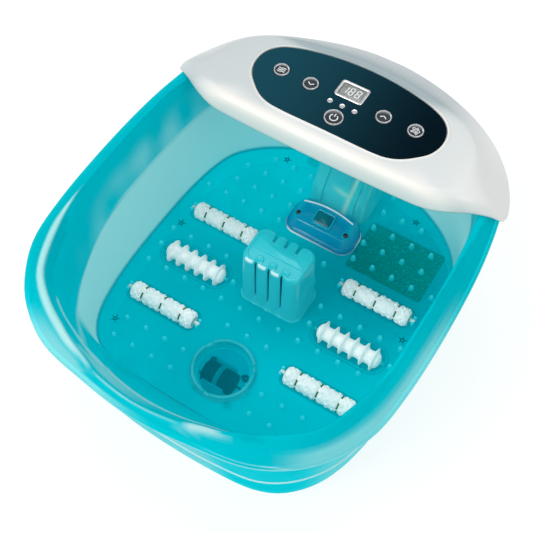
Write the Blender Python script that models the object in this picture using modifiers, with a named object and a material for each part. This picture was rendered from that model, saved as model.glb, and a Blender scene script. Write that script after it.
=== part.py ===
"""Foot spa basin: a translucent tub in a lower casing, with a control hood across its rear end.

Metres, +Z up, +Y towards the control hood. The origin is on the ground under the middle of the object.
"""

import math

import bmesh
import bpy
from mathutils import Matrix, Vector

# ---------------------------------------------------------------- driving dimensions

GAP = 0.0004  # between pieces that touch
WALL = 0.0020  # tub and casing walls

GROUND_TO_BASE = 0.0030
FLOOR_Z = 0.0415
CREST_Z = 0.2016  # top of the rim in the open part
CREST_BACK_Z = 0.1975  # top of the rim under the hood
FLANGE_Z = 0.1838  # outer edge of the rim
FLANGE_FRONT_Z = 0.1975  # outer edge of the rim at the middle of the front
SKIRT_Z = 0.1760  # lower edge of the rim
CASING_TOP_Z = 0.1795
RIDGE_Z = 0.0590  # step that runs round the casing
RIDGE_STEP = 0.0012
HOOD_TOP_Z = 0.2194
HOOD_EDGE_Z = 0.1840
HOOD_WALL = 0.0022
HOOD_LEAN = (0.15, 0.80)  # how soon the hood's side leans in: at the front, round the back

OUTLINE_STEPS = 26  # points on each half of an outline

# Half outlines as (x, y), from the middle of the front round to the middle of the back.
FLOOR_OUTLINE = (
    (0, -0.1465), (0.073, -0.145), (0.104, -0.141), (0.122, -0.133), (0.1335, -0.12),
    (0.141, -0.104), (0.147, -0.074), (0.15, -0.036), (0.15, 0.03), (0.1475, 0.074), (0.142, 0.108),
    (0.134, 0.13), (0.121, 0.146), (0.104, 0.16), (0.08, 0.173), (0.045, 0.1835), (0, 0.187),
)
CREST_OUTLINE = (
    (0, -0.2105), (0.036, -0.206), (0.052, -0.2005), (0.071, -0.1945), (0.085, -0.1875),
    (0.109, -0.174), (0.1305, -0.1548), (0.1447, -0.1216), (0.1518, -0.091), (0.1542, -0.043),
    (0.1542, 0.028), (0.15, 0.08), (0.146, 0.104), (0.139, 0.121), (0.128, 0.137), (0.112, 0.153),
    (0.087, 0.1705), (0.055, 0.1835), (0.022, 0.1895), (0, 0.19),
)
FLANGE_OUTLINE = (
    (0, -0.2145), (0.053, -0.2095), (0.1, -0.2), (0.133, -0.1795), (0.153, -0.155), (0.166, -0.128),
    (0.1725, -0.086), (0.175, -0.016), (0.1726, 0.051), (0.1665, 0.098), (0.1625, 0.115),
    (0.1545, 0.131), (0.145, 0.1445), (0.1265, 0.165), (0.098, 0.1848), (0.059, 0.2005),
    (0.022, 0.2083), (0, 0.209),
)
BASE_OUTLINE = (
    (0, -0.1745), (0.067, -0.171), (0.086, -0.1665), (0.102, -0.159), (0.117, -0.146),
    (0.129, -0.13), (0.138, -0.11), (0.1445, -0.084), (0.149, -0.051), (0.151, -0.001),
    (0.1495, 0.074), (0.1435, 0.118), (0.131, 0.145), (0.11, 0.166), (0.08, 0.181), (0.045, 0.1905),
    (0, 0.194),
)
RIDGE_OUTLINE = (
    (0, -0.1845), (0.034, -0.1837), (0.063, -0.181), (0.083, -0.1775), (0.097, -0.172),
    (0.1105, -0.1635), (0.122, -0.153), (0.1335, -0.1385), (0.1435, -0.1195), (0.15, -0.098),
    (0.155, -0.071), (0.158, -0.036), (0.1585, 0.004), (0.157, 0.049), (0.1535, 0.094),
    (0.1475, 0.122), (0.136, 0.146), (0.117, 0.166), (0.09, 0.182), (0.05, 0.194), (0, 0.1985),
)
HOOD_OUTLINE = (
    (0, 0.0592), (0.085, 0.0605), (0.109, 0.0625), (0.1245, 0.068), (0.1447, 0.0788), (0.16, 0.09),
    (0.1705, 0.099), (0.168, 0.115), (0.16, 0.1325), (0.15, 0.148), (0.13, 0.1695), (0.1, 0.19),
    (0.06, 0.206), (0.022, 0.2137), (0, 0.2145),
)
HOOD_TOP_OUTLINE = (
    (0, 0.0675), (0.085, 0.0695), (0.108, 0.0735), (0.121, 0.083), (0.127, 0.099), (0.125, 0.117),
    (0.116, 0.135), (0.099, 0.149), (0.074, 0.1585), (0.04, 0.165), (0, 0.1675),
)
TRAY_OUTLINE = (
    (0, 0.063), (0.085, 0.064), (0.108, 0.0665), (0.124, 0.075), (0.137, 0.087), (0.145, 0.1),
    (0.146, 0.112), (0.14, 0.126), (0.128, 0.1385), (0.112, 0.151), (0.091, 0.1645), (0.067, 0.176),
    (0.038, 0.1835), (0, 0.1855),
)
OVERLAY_OUTLINE = (
    (0, 0.0793), (0.048, 0.0793), (0.06, 0.0808), (0.071, 0.0855), (0.082, 0.0945),
    (0.0905, 0.1045), (0.0945, 0.1185), (0.0925, 0.1325), (0.084, 0.1435), (0.07, 0.1508),
    (0.05, 0.1562), (0.025, 0.1602), (0, 0.1615),
)

ROLLER_X = 0.0895
ROLLER_Z = 0.0430
KNOB_ROLLER_Y = (0.0471, -0.0671)
SPINDLE_Y = -0.0097
ROLLER_LENGTH = 0.0735
ROLLER_RADIUS = 0.0086
ROLLER_BORE = 0.0056
ROLLER_POCKET_RADIUS = 0.0112
ROLLER_POCKET_LENGTH = 0.0790
PIN_RADIUS = 0.0020
SCREW_SHANK_RADIUS = 0.0014
PIN_REACH = 0.0425  # half the length of a roller with its pins
GROOVE_X = (-0.0225, 0.0, 0.0225)
GROOVE_HALF = 0.0006
GROOVE_DEPTH = 0.0007
SPINDLE_LENGTH = 0.0690
SPINDLE_PIN_REACH = 0.0390  # how far the spindle's pins reach from its middle
SPINDLE_CORE = 0.0070
SPINDLE_DISC = 0.0120
SPINDLE_PITCH = 0.0112
SPINDLE_DISCS = 6
SPINDLE_POCKET_RADIUS = 0.0134
SPINDLE_POCKET_LENGTH = 0.0740

NUB_PITCH = 0.0223
NUB_RADIUS = 0.0027
NUB_HEIGHT = 0.0045
NUB_FIRST_Y = -0.1202
NUB_ROWS = 14
NUB_COLUMNS = 6  # on each side of the middle one

WELL_Y = -0.0955
WELL_RADIUS = 0.0272
WELL_DEPTH = 0.0040
WELL_RING_RADIUS = 0.0320
WELL_RING_HEIGHT = 0.0060

BLOCK_CENTRE_Y = 0.0055
BLOCK_HALF = (0.0330, 0.0225)
BLOCK_TOP_Z = 0.1139
SLIT_X = (-0.0142, 0, 0.0142)
NOTCH_SHARE = 0.88  # the notches behind are a little closer together than the slits

HEATER_Y = (0.0764, 0.1165)
HEATER_HALF_WIDTH = 0.0390
HEATER_CORNER = 0.0140
HEATER_SCREW = (0.0280, 0.0921)
HEATER_RISE = 0.28  # how steeply the cover's top rises to the back
HEATER_CROWN = 6.0  # how fast it falls away to the sides
WINDOW_Y = 0.0950
WINDOW_HALF = (0.0090, 0.0065)

DUCT_CORNER = 0.0120
DUCT_SECTIONS = (  # half the width, front, back, height above the ground
    (0.034, 0.1185, 0.1800, FLOOR_Z + GAP), (0.033, 0.1220, 0.1805, 0.066),
    (0.031, 0.1420, 0.1815, 0.095), (0.030, 0.1440, 0.1850, 0.1972),
)
DUCT_HOLE_Y = 0.1590
DUCT_HOLE_RADIUS = 0.0110
GLAND_PLACE = (-0.060, 0.1900, 0.0230)
GLAND_HOLE_RADIUS = 0.0074

BOSS_PLACES = ((0.0795, 0.1547), (0.1310, 0.0237), (0.1222, -0.1044))
FOOT_PLACES = ((0.098, 0.138), (0.098, -0.128))
FOOT_RADIUS = 0.0110
SCREW_HOLE_RADIUS = 0.0021

BUTTONS = (  # name, x, y, radius
    ("vibration_button", -0.0684, 0.1198, 0.0077),
    ("temp_down_button", -0.0372, 0.1191, 0.0077),
    ("power_button", 0.0, 0.0954, 0.0092),
    ("temp_up_button", 0.0372, 0.1191, 0.0077),
    ("bubble_button", 0.0684, 0.1198, 0.0077),
)
BUTTON_STEM_RADIUS = 0.0025
BUTTON_STEM_Z = 0.2108
BUTTON_FLANGE = 0.0014  # how far the flange under the hood stands out
BUTTON_FLANGE_Z = (0.2145, 0.2158)
BUTTON_EDGE_Z = 0.2202
BUTTON_TOP_Z = 0.2208
SWITCH_TOP_Z = 0.2100
LED_SPACING = 0.01245
LED_Y = 0.1108
LED_RADIUS = 0.0015
LED_TOP_Z = 0.2200
DISPLAY_Y = 0.1295
DISPLAY_SIZE = (0.0220, 0.0140)
DISPLAY_TOP_Z = 0.2204
BEZEL_TOP_Z = 0.2210
BEZEL_SIZE = (0.0285, 0.0202)
OVERLAY_Z = (0.2185, 0.2197)
BOARD_Z = (0.2050, 0.2066)
TRAY_Z = (0.1982, 0.2002)

MOTOR_Z = 0.0205
MOTOR_RADIUS = 0.0115
SHAFT_RADIUS = 0.0012
PUMP_PLACE = (-0.080, 0.104, 0)
POWER_BOARD_PLACE = (0.0812, 0.1078, 0)

# ---------------------------------------------------------------- scene and materials

for old in list(bpy.data.objects):
    bpy.data.objects.remove(old)

parts = bpy.data.collections.new("foot_spa_basin")
guides = bpy.data.collections.new("cutters")
bpy.context.scene.collection.children.link(parts)
bpy.context.scene.collection.children.link(guides)


def material(name, colour, roughness, metallic=0.0, alpha=1.0):
    made = bpy.data.materials.new(name)
    made.use_nodes = True
    shader = made.node_tree.nodes["Principled BSDF"]
    shader.inputs["Base Color"].default_value = (*colour, 1)
    shader.inputs["Roughness"].default_value = roughness
    shader.inputs["Metallic"].default_value = metallic
    shader.inputs["Alpha"].default_value = alpha
    made.diffuse_color = (*colour, alpha)
    return made


TUB_TEAL = material("tub_teal", (0.0, 0.52, 0.58), 0.15)
CASING_TEAL = material("casing_teal", (0.02, 0.58, 0.62), 0.2)
PALE_TEAL = material("pale_teal", (0.05, 0.45, 0.50), 0.2)
HEATER_BLUE = material("heater_blue", (0.0, 0.25, 0.45), 0.2)
HOOD_WHITE = material("hood_white", (0.80, 0.82, 0.82), 0.25)
ROLLER_WHITE = material("roller_white", (0.85, 0.86, 0.84), 0.5)
AXLE_GREEN = material("axle_green", (0.02, 0.16, 0.07), 0.5)
OVERLAY_NAVY = material("overlay_navy", (0.01, 0.03, 0.05), 0.15)
SILVER = material("silver", (0.75, 0.76, 0.78), 0.25, 1.0)
DISPLAY_GREY = material("display_grey", (0.30, 0.33, 0.34), 0.1)
LED_WHITE = material("led_white", (0.8, 0.8, 0.8), 0.2)
BOARD_GREEN = material("board_green", (0.01, 0.18, 0.10), 0.4)
STEEL = material("steel", (0.6, 0.6, 0.6), 0.35, 1.0)
BLACK_PLASTIC = material("black_plastic", (0.02, 0.02, 0.025), 0.45)
RUBBER = material("rubber", (0.03, 0.03, 0.03), 0.8)
HOSE_CLEAR = material("hose_clear", (0.70, 0.75, 0.75), 0.3)
HEATER_CERAMIC = material("heater_ceramic", (0.55, 0.50, 0.42), 0.6)


# ---------------------------------------------------------------- modelling helpers

def add_object(name, mesh, look, place=(0, 0, 0), collection=None):
    """Put a mesh in the scene as a named object, placed by its location."""
    body = bpy.data.objects.new(name, mesh)
    (collection or parts).objects.link(body)
    body.location = place
    if look:
        mesh.materials.clear()
        mesh.materials.append(look)
    return body


def mesh_from(name, build):
    """A mesh made by one build function that fills a bmesh."""
    shape = bmesh.new()
    build(shape)
    mesh = bpy.data.meshes.new(name)
    shape.to_mesh(mesh)
    shape.free()
    return mesh


def box(shape, low, high):
    """Add a box between two corners."""
    low = Vector(low)
    high = Vector(high)
    size = high - low
    place = Matrix.Translation((low + high) / 2) @ Matrix.Diagonal((*size, 1))
    return bmesh.ops.create_cube(shape, size=1, matrix=place)["verts"]


def cylinder(shape, centre, radius, low, high, sides=16, top_radius=None):
    """Add an upright cylinder or cone at (x, y) between two heights."""
    place = Matrix.Translation((centre[0], centre[1], (low + high) / 2))
    return bmesh.ops.create_cone(
        shape, cap_ends=True, segments=sides, radius1=radius,
        radius2=radius if top_radius is None else top_radius, depth=high - low, matrix=place,
    )["verts"]


def lying_cylinder(shape, centre, radius, length, axis="X", sides=16):
    """Add a cylinder along X or Y."""
    turn = Matrix.Rotation(math.pi / 2, 4, "Y" if axis == "X" else "X")
    return bmesh.ops.create_cone(
        shape, cap_ends=True, segments=sides, radius1=radius, radius2=radius, depth=length,
        matrix=Matrix.Translation(centre) @ turn,
    )["verts"]


def turned(shape, centre, profile, sides=16):
    """Add a closed solid of revolution about X. The profile's (x, radius) starts and ends on the axis."""
    rings = []
    for x, radius in profile:
        if radius == 0:
            rings.append([shape.verts.new((centre[0] + x, centre[1], centre[2]))])
            continue
        rings.append([
            shape.verts.new((
                centre[0] + x,
                centre[1] + radius * math.cos(math.tau * i / sides),
                centre[2] + radius * math.sin(math.tau * i / sides),
            ))
            for i in range(sides)
        ])
    for first, second in zip(rings, rings[1:]):
        for i in range(sides):
            k = (i + 1) % sides
            if len(first) == 1:
                shape.faces.new((first[0], second[k], second[i]))
            elif len(second) == 1:
                shape.faces.new((first[i], first[k], second[0]))
            else:
                shape.faces.new((first[i], first[k], second[k], second[i]))
    bmesh.ops.recalc_face_normals(shape, faces=shape.faces)


def boolean(body, operation, build, name, crossing=False):
    """Join or cut a body with everything that one build function makes. Crossing shapes need the flag."""
    cutter = add_object(name, mesh_from(name, build), None, collection=guides)
    cutter.hide_render = True
    cutter.display_type = "WIRE"
    step = body.modifiers.new(name, "BOOLEAN")
    step.operation = operation
    step.solver = "EXACT"
    step.use_self = crossing
    step.object = cutter
    return cutter


def outline(half, steps=OUTLINE_STEPS, inset=0.0):
    """A closed outline through a half outline and its mirror image, evenly spaced on each half."""
    right = [Vector(point) for point in half]
    left = [Vector((-x, y)) for x, y in half[-2:0:-1]]
    nodes = right + left
    count = len(nodes)
    fine = []
    for i in range(len(half) - 1):
        around = [nodes[(i + k) % count] for k in (-1, 0, 1, 2)]
        fine += [centripetal(around, step / 12) for step in range(12)]
    fine.append(right[-1])
    run = [0.0]
    for a, b in zip(fine, fine[1:]):
        run.append(run[-1] + (b - a).length)
    points = []
    k = 0
    for i in range(steps + 1):
        target = run[-1] * i / steps
        while k < len(run) - 2 and run[k + 1] < target:
            k += 1
        share = (target - run[k]) / (run[k + 1] - run[k])
        points.append(fine[k].lerp(fine[k + 1], share))
    points += [Vector((-p.x, p.y)) for p in points[-2:0:-1]]
    if inset:
        points = inset_points(points, inset)
    return points


def centripetal(around, share):
    """A point on the centripetal Catmull-Rom curve between the middle two of four points."""
    p0, p1, p2, p3 = around
    t0 = 0.0
    t1 = t0 + math.sqrt((p1 - p0).length)
    t2 = t1 + math.sqrt((p2 - p1).length)
    t3 = t2 + math.sqrt((p3 - p2).length)
    t = t1 + (t2 - t1) * share
    a1 = p0.lerp(p1, (t - t0) / (t1 - t0))
    a2 = p1.lerp(p2, (t - t1) / (t2 - t1))
    a3 = p2.lerp(p3, (t - t2) / (t3 - t2))
    b1 = a1.lerp(a2, (t - t0) / (t2 - t0))
    b2 = a2.lerp(a3, (t - t1) / (t3 - t1))
    return b1.lerp(b2, (t - t1) / (t2 - t1))


def inset_points(points, distance):
    """Move each point of an anticlockwise outline inwards."""
    moved = []
    for i, point in enumerate(points):
        along = (points[(i + 1) % len(points)] - points[i - 1]).normalized()
        moved.append(point + distance * Vector((-along.y, along.x)))
    return moved


def smooth(value, low, high):
    """0 below low, 1 above high, and an S-curve between them."""
    share = min(max((value - low) / (high - low), 0.0), 1.0)
    return share * share * (3 - 2 * share)


def raised(points, height):
    """An outline in space, at one height or at a height that a function gives for each point."""
    return [Vector((p.x, p.y, height(p) if callable(height) else height)) for p in points]


def between(first, second, share):
    """The outline part of the way from one outline to another."""
    return [a.lerp(b, share) for a, b in zip(first, second)]


def loft(shape, rings, start_cap=False, end_cap=False):
    """Faces between rings of points, each ring going the same way round."""
    made = [[shape.verts.new(point) for point in ring] for ring in rings]
    count = len(rings[0])
    for lower, upper in zip(made, made[1:]):
        for i in range(count):
            k = (i + 1) % count
            shape.faces.new((lower[i], lower[k], upper[k], upper[i]))
    if start_cap:
        shape.faces.new(list(reversed(made[0])))
    if end_cap:
        shape.faces.new(made[-1])


def plate(shape, points, low, high):
    """Add a closed plate of one outline between two heights."""
    loft(shape, (raised(points, low), raised(points, high)), True, True)


def rounded_rectangle(half_x, low_y, high_y, radius, arc=4):
    """An anticlockwise rectangle with round corners."""
    points = []
    corners = (
        (half_x, high_y, 0), (-half_x, high_y, 1), (-half_x, low_y, 2), (half_x, low_y, 3),
    )
    for x, y, quarter in corners:
        centre = Vector((x - math.copysign(radius, x), y - radius if y == high_y else y + radius))
        for i in range(arc + 1):
            angle = math.pi / 2 * (quarter + i / arc)
            points.append(centre + radius * Vector((math.cos(angle), math.sin(angle))))
    return points


def solidify(body, thickness, offset):
    """Give an open surface a wall."""
    wall = body.modifiers.new("wall", "SOLIDIFY")
    wall.thickness = thickness
    wall.offset = offset
    wall.use_even_offset = True
    return wall


def shade_round(body, degrees=35):
    """Shade a round piece smooth, with its edges sharp."""
    body.data.shade_smooth()
    body.data.set_sharp_from_angle(angle=math.radians(degrees))


def inside_outline(x, y, points):
    """Whether a point lies in a closed outline."""
    inside = False
    for a, b in zip(points, points[1:] + points[:1]):
        if (a.y > y) != (b.y > y) and x < a.x + (y - a.y) * (b.x - a.x) / (b.y - a.y):
            inside = not inside
    return inside


# ---------------------------------------------------------------- tub

def roller_places():
    """Each knobbed roller's centre, front left first."""
    return [(side * ROLLER_X, y) for y in reversed(KNOB_ROLLER_Y) for side in (-1, 1)]


def spindle_places():
    return [(side * ROLLER_X, SPINDLE_Y) for side in (-1, 1)]


def pocket_profile(radius, length, end=0.006, arc=2):
    """Half a pocket's section: a cylinder with elliptical ends."""
    half = length / 2
    start = [(-half, 0.0)] + [
        (-half + end * (1 - math.cos(math.pi / 2 * i / arc)), radius * math.sin(math.pi / 2 * i / arc))
        for i in range(1, arc + 1)
    ]
    return start + [(-x, r) for x, r in reversed(start)]


def cut_above(shape, height):
    """Remove what is above a height and close the cut."""
    cut = bmesh.ops.bisect_plane(
        shape, geom=shape.verts[:] + shape.edges[:] + shape.faces[:], plane_co=(0, 0, height),
        plane_no=(0, 0, 1), clear_outer=True,
    )
    edges = [e for e in cut["geom_cut"] if isinstance(e, bmesh.types.BMEdge)]
    bmesh.ops.contextual_create(shape, geom=edges)


def pocket_body(shape, place, radius, length):
    """The outside of one roller pocket, under the floor."""
    single = bmesh.new()
    turned(single, (*place, ROLLER_Z), pocket_profile(radius + WALL, length + 2 * WALL), 12)
    cut_above(single, FLOOR_Z - WALL / 2)
    copy_into(shape, single)


def copy_into(shape, single):
    """Add one bmesh to another."""
    mesh = bpy.data.meshes.new("piece")
    single.to_mesh(mesh)
    single.free()
    shape.from_mesh(mesh)
    bpy.data.meshes.remove(mesh)


def near(x, y, places, half_x, half_y):
    return any(abs(x - px) < half_x and abs(y - py) < half_y for px, py in places)


def nub_places():
    """The floor's nubs: a square grid, left out at everything that stands on the floor or in it."""
    edge = outline(FLOOR_OUTLINE, inset=0.008)
    places = [(side * 0.0140, BLOCK_CENTRE_Y - 0.0275) for side in (-1, 1)]
    for row in range(NUB_ROWS):
        for column in range(-NUB_COLUMNS, NUB_COLUMNS + 1):
            x = column * NUB_PITCH
            y = NUB_FIRST_Y + row * NUB_PITCH
            blocked = (
                not inside_outline(x, y, edge)
                or near(x, y, roller_places(), 0.047, 0.017)
                or near(x, y, spindle_places(), 0.043, 0.019)
                or near(x, y, [(0, BLOCK_CENTRE_Y)], 0.040, 0.0285)
                or math.hypot(x, y - WELL_Y) < WELL_RING_RADIUS + 0.004
                or near(x, y, [(0, 0.130)], HEATER_HALF_WIDTH + 0.004, 0.058)
            )
            if not blocked:
                places.append((x, y))
    return places


def tub_additions(shape):
    """What the floor carries above and below: pockets, the well, screw bosses, clip posts and nubs."""
    for place in roller_places():
        pocket_body(shape, place, ROLLER_POCKET_RADIUS, ROLLER_POCKET_LENGTH)
        for side in (-1, 1):
            post = place[0] + side * (PIN_REACH - 0.0012)
            box(shape, (post - 0.0014, place[1] - 0.0045, FLOOR_Z - 0.0015),
                (post + 0.0014, place[1] + 0.0045, ROLLER_Z + 0.0035))
    for place in spindle_places():
        pocket_body(shape, place, SPINDLE_POCKET_RADIUS, SPINDLE_POCKET_LENGTH + 0.004)
    cylinder(shape, (0, WELL_Y), WELL_RADIUS + WALL, FLOOR_Z - WELL_DEPTH - WALL,
             FLOOR_Z - WALL / 2, 32)
    for x, y in BOSS_PLACES:
        for side in (-1, 1):
            cylinder(shape, (side * x, y), 0.0045, 0.0085, FLOOR_Z - WALL / 2, 10)
    for side in (-1, 1):
        cylinder(shape, (side * HEATER_SCREW[0], HEATER_SCREW[1]), 0.0032, FLOOR_Z - WALL / 2,
                 0.0490, 10)
    for place in nub_places():
        cylinder(shape, place, NUB_RADIUS, FLOOR_Z - WALL / 2, FLOOR_Z + NUB_HEIGHT, 5, 0.0018)


def tub_cuts(shape):
    """What is cut from the tub: pockets, pin slots, the well, screw holes and the duct's opening."""
    for x, y in roller_places():
        turned(shape, (x, y, ROLLER_Z), pocket_profile(ROLLER_POCKET_RADIUS, ROLLER_POCKET_LENGTH), 12)
        for side in (-1, 1):
            post = x + side * (PIN_REACH - 0.0012)
            box(shape, (post - 0.0030, y - PIN_RADIUS - GAP, ROLLER_Z - PIN_RADIUS - GAP),
                (post + 0.0030, y + PIN_RADIUS + GAP, ROLLER_Z + 0.006))
    for x, y in spindle_places():
        turned(shape, (x, y, ROLLER_Z), pocket_profile(SPINDLE_POCKET_RADIUS, SPINDLE_POCKET_LENGTH), 12)
        for side in (-1, 1):
            pin = x + side * SPINDLE_PIN_REACH
            box(shape, (pin - 0.0015 - side * 0.0010, y - PIN_RADIUS - GAP, ROLLER_Z - PIN_RADIUS - GAP),
                (pin + 0.0015 - side * 0.0010, y + PIN_RADIUS + GAP, ROLLER_Z + 0.006))
    cylinder(shape, (0, WELL_Y), WELL_RADIUS, FLOOR_Z - WELL_DEPTH, FLOOR_Z + 0.010, 32)
    for x, y in BOSS_PLACES:
        for side in (-1, 1):
            cylinder(shape, (side * x, y), 0.0021, 0.004, 0.0245, 8)
    for side in (-1, 1):
        cylinder(shape, (side * HEATER_SCREW[0], HEATER_SCREW[1]), 0.0017, 0.0425, 0.0550, 8)
    cylinder(shape, (0, DUCT_HOLE_Y), DUCT_HOLE_RADIUS, 0.030, 0.050, 16)


def crest_height(point):
    return CREST_Z + (CREST_BACK_Z - CREST_Z) * smooth(point.y, 0.054, 0.082)


def flange_height(point):
    """The rim's outer edge rises to the crest in the middle of the front."""
    if point.y > -0.156:
        return FLANGE_Z
    return FLANGE_FRONT_Z + (FLANGE_Z - FLANGE_FRONT_Z) * smooth(abs(point.x), 0.038, 0.071)


def make_tub():
    """Floor, walls, crest, flange and skirt as one surface with a wall, then the floor's features."""
    floor = outline(FLOOR_OUTLINE)
    crest = outline(CREST_OUTLINE)
    flange = outline(FLANGE_OUTLINE)
    foot_of_wall = raised(floor, FLOOR_Z)
    top_of_wall = raised(crest, crest_height)

    def build(shape):
        edge = raised(flange, flange_height)
        loft(shape, (
            foot_of_wall,
            between(foot_of_wall, top_of_wall, 0.5),
            top_of_wall,
            edge,
            raised(flange, SKIRT_Z),
        ), start_cap=True)

    tub = add_object("inner_basin", mesh_from("inner_basin", build), TUB_TEAL)
    solidify(tub, WALL, 1)
    boolean(tub, "UNION", tub_additions, "tub_additions", crossing=True)
    boolean(tub, "DIFFERENCE", tub_cuts, "tub_cuts", crossing=True)


# ---------------------------------------------------------------- casing and base


def make_casing():
    """The lower shell, with a step round it that faces up, and a hole for the mains lead's gland."""
    base = outline(BASE_OUTLINE)
    ridge = outline(RIDGE_OUTLINE)
    top = outline(FLANGE_OUTLINE, inset=WALL + 0.0012)

    def build(shape):
        loft(shape, (
            raised(base, GROUND_TO_BASE),
            raised(between(base, ridge, 0.55), 0.024),
            raised(ridge, RIDGE_Z - 0.001),
            raised(inset_points(ridge, RIDGE_STEP), RIDGE_Z),
            raised(between(inset_points(ridge, RIDGE_STEP), top, 0.5), 0.118),
            raised(top, SKIRT_Z),
            raised(inset_points(top, 0.0005), CASING_TOP_Z),
        ))

    casing = add_object("outer_casing", mesh_from("outer_casing", build), CASING_TEAL)
    solidify(casing, WALL, -1)

    def hole(shape):
        lying_cylinder(shape, GLAND_PLACE, GLAND_HOLE_RADIUS, 0.030, "Y")

    boolean(casing, "DIFFERENCE", hole, "gland_hole")


def base_edge():
    return outline(BASE_OUTLINE, inset=WALL + 0.0012)


def make_base_plate():
    def build(shape):
        plate(shape, base_edge(), GROUND_TO_BASE + 0.0004, GROUND_TO_BASE + 0.0029)

    def holes(shape):
        for x, y in BOSS_PLACES:
            for side in (-1, 1):
                cylinder(shape, (side * x, y), SCREW_HOLE_RADIUS, 0, 0.010, 8)

    base = add_object("base_plate", mesh_from("base_plate", build), CASING_TEAL)
    boolean(base, "DIFFERENCE", holes, "base_plate_holes")


def make_screw(name, place, head_z, head_radius, head_height, length, upside_down):
    """A pan-head screw. Its shank points up when it is driven from below."""
    turn = 1 if upside_down else -1
    low_head, high_head = sorted((head_z, head_z - turn * head_height))
    low_shank, high_shank = sorted((head_z - turn * head_height / 2, head_z + turn * length))

    def head(shape):
        cylinder(shape, (0, 0), head_radius, low_head, high_head, 12)

    def shank(shape):
        cylinder(shape, (0, 0), SCREW_SHANK_RADIUS, low_shank, high_shank, 8)

    screw = add_object(name, mesh_from(name, head), STEEL, (*place, 0))
    boolean(screw, "UNION", shank, name + "_shank").location = (*place, 0)
    return screw


def make_base_screws():
    number = 1
    for x, y in BOSS_PLACES:
        for side in (-1, 1):
            make_screw(f"base_screw_{number}", (side * x, y), GROUND_TO_BASE, 0.0034, 0.0016, 0.017, True)
            number += 1


def make_feet():
    """Rubber discs under the base plate, with a bevelled lower edge."""
    number = 1
    for x, y in FOOT_PLACES:
        for side in (-1, 1):
            def build(shape):
                cylinder(shape, (0, 0), FOOT_RADIUS - 0.001, 0, GROUND_TO_BASE + 0.0001, 20, FOOT_RADIUS)

            add_object(f"rubber_foot_{number}", mesh_from("rubber_foot", build), RUBBER, (side * x, y, 0))
            number += 1


def make_gland():
    """The bush in the rear wall that the mains lead would come out of."""
    bore = 0.0034
    profile = ((-0.012, 0.0068), (0.0045, 0.0068), (0.0045, 0.0095), (0.0075, 0.0095), (0.013, 0.0062))

    def build(shape):
        edges = []
        sides = 16
        for y, radius in profile + ((profile[-1][0], bore), (profile[0][0], bore)):
            edges.append([
                shape.verts.new((radius * math.cos(math.tau * i / sides), y,
                                 radius * math.sin(math.tau * i / sides)))
                for i in range(sides)
            ])
        for first, second in zip(edges, edges[1:] + edges[:1]):
            for i in range(sides):
                k = (i + 1) % sides
                shape.faces.new((first[i], first[k], second[k], second[i]))
        bmesh.ops.recalc_face_normals(shape, faces=shape.faces)

    gland = add_object("cord_gland", mesh_from("cord_gland", build), BLACK_PLASTIC, GLAND_PLACE)
    shade_round(gland)


# ---------------------------------------------------------------- hood and controls

def hood_edge_height(point):
    """The hood's lower edge: level at the front, down over the rim at the sides, low round the back."""
    if point.y > 0.0989:
        return HOOD_EDGE_Z
    share = min(max((abs(point.x) - 0.142) / 0.0285, 0.0), 1.0)
    return CREST_Z - (CREST_Z - HOOD_EDGE_Z) * share ** 1.6


def make_hood():
    """A rounded shell over the rear end of the rim, open below."""
    lower = raised(outline(HOOD_OUTLINE), hood_edge_height)
    upper = raised(outline(HOOD_TOP_OUTLINE), HOOD_TOP_Z)
    rings = []
    arc = 5
    for i in range(arc + 1):
        ring = []
        for low, high in zip(lower, upper):
            rise = 2 * (i / arc) - (i / arc) ** 2
            lean = HOOD_LEAN[0] + (HOOD_LEAN[1] - HOOD_LEAN[0]) * smooth(low.y, 0.080, 0.125)
            across = 2 * lean * (i / arc) * (1 - i / arc) + (i / arc) ** 2
            ring.append(Vector((
                low.x + (high.x - low.x) * across,
                low.y + (high.y - low.y) * across,
                low.z + (high.z - low.z) * rise,
            )))
        rings.append(ring)

    def build(shape):
        loft(shape, rings, end_cap=True)

    hood = add_object("control_hood", mesh_from("control_hood", build), HOOD_WHITE)
    solidify(hood, HOOD_WALL, -1)

    def cuts(shape):
        plate(shape, inset_points(outline(OVERLAY_OUTLINE, 20), -GAP), OVERLAY_Z[0] - GAP, 0.230)

    def holes(shape):
        for _, x, y, radius in BUTTONS:
            cylinder(shape, (x, y), radius + GAP, 0.210, 0.225, 14)
        for i in (-1, 0, 1):
            cylinder(shape, (i * LED_SPACING, LED_Y), LED_RADIUS + GAP, 0.210, 0.225, 8)
        box(shape, (-DISPLAY_SIZE[0] / 2 - GAP, DISPLAY_Y - DISPLAY_SIZE[1] / 2 - GAP, 0.210),
            (DISPLAY_SIZE[0] / 2 + GAP, DISPLAY_Y + DISPLAY_SIZE[1] / 2 + GAP, 0.225))

    boolean(hood, "DIFFERENCE", cuts, "overlay_recess")
    boolean(hood, "DIFFERENCE", holes, "control_holes")

    def overlay(shape):
        plate(shape, outline(OVERLAY_OUTLINE, 20), *OVERLAY_Z)

    panel = add_object("panel_overlay", mesh_from("panel_overlay", overlay), OVERLAY_NAVY)
    boolean(panel, "DIFFERENCE", holes, "overlay_holes")


def make_tray():
    """The plate that closes the hood from below, with a hole for the wiring."""
    def build(shape):
        plate(shape, outline(TRAY_OUTLINE, 20), *TRAY_Z)

    def hole(shape):
        cylinder(shape, (0, DUCT_HOLE_Y), 0.007, 0.190, 0.210, 12)

    tray = add_object("hood_tray", mesh_from("hood_tray", build), HOOD_WHITE)
    boolean(tray, "DIFFERENCE", hole, "tray_hole")


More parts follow.
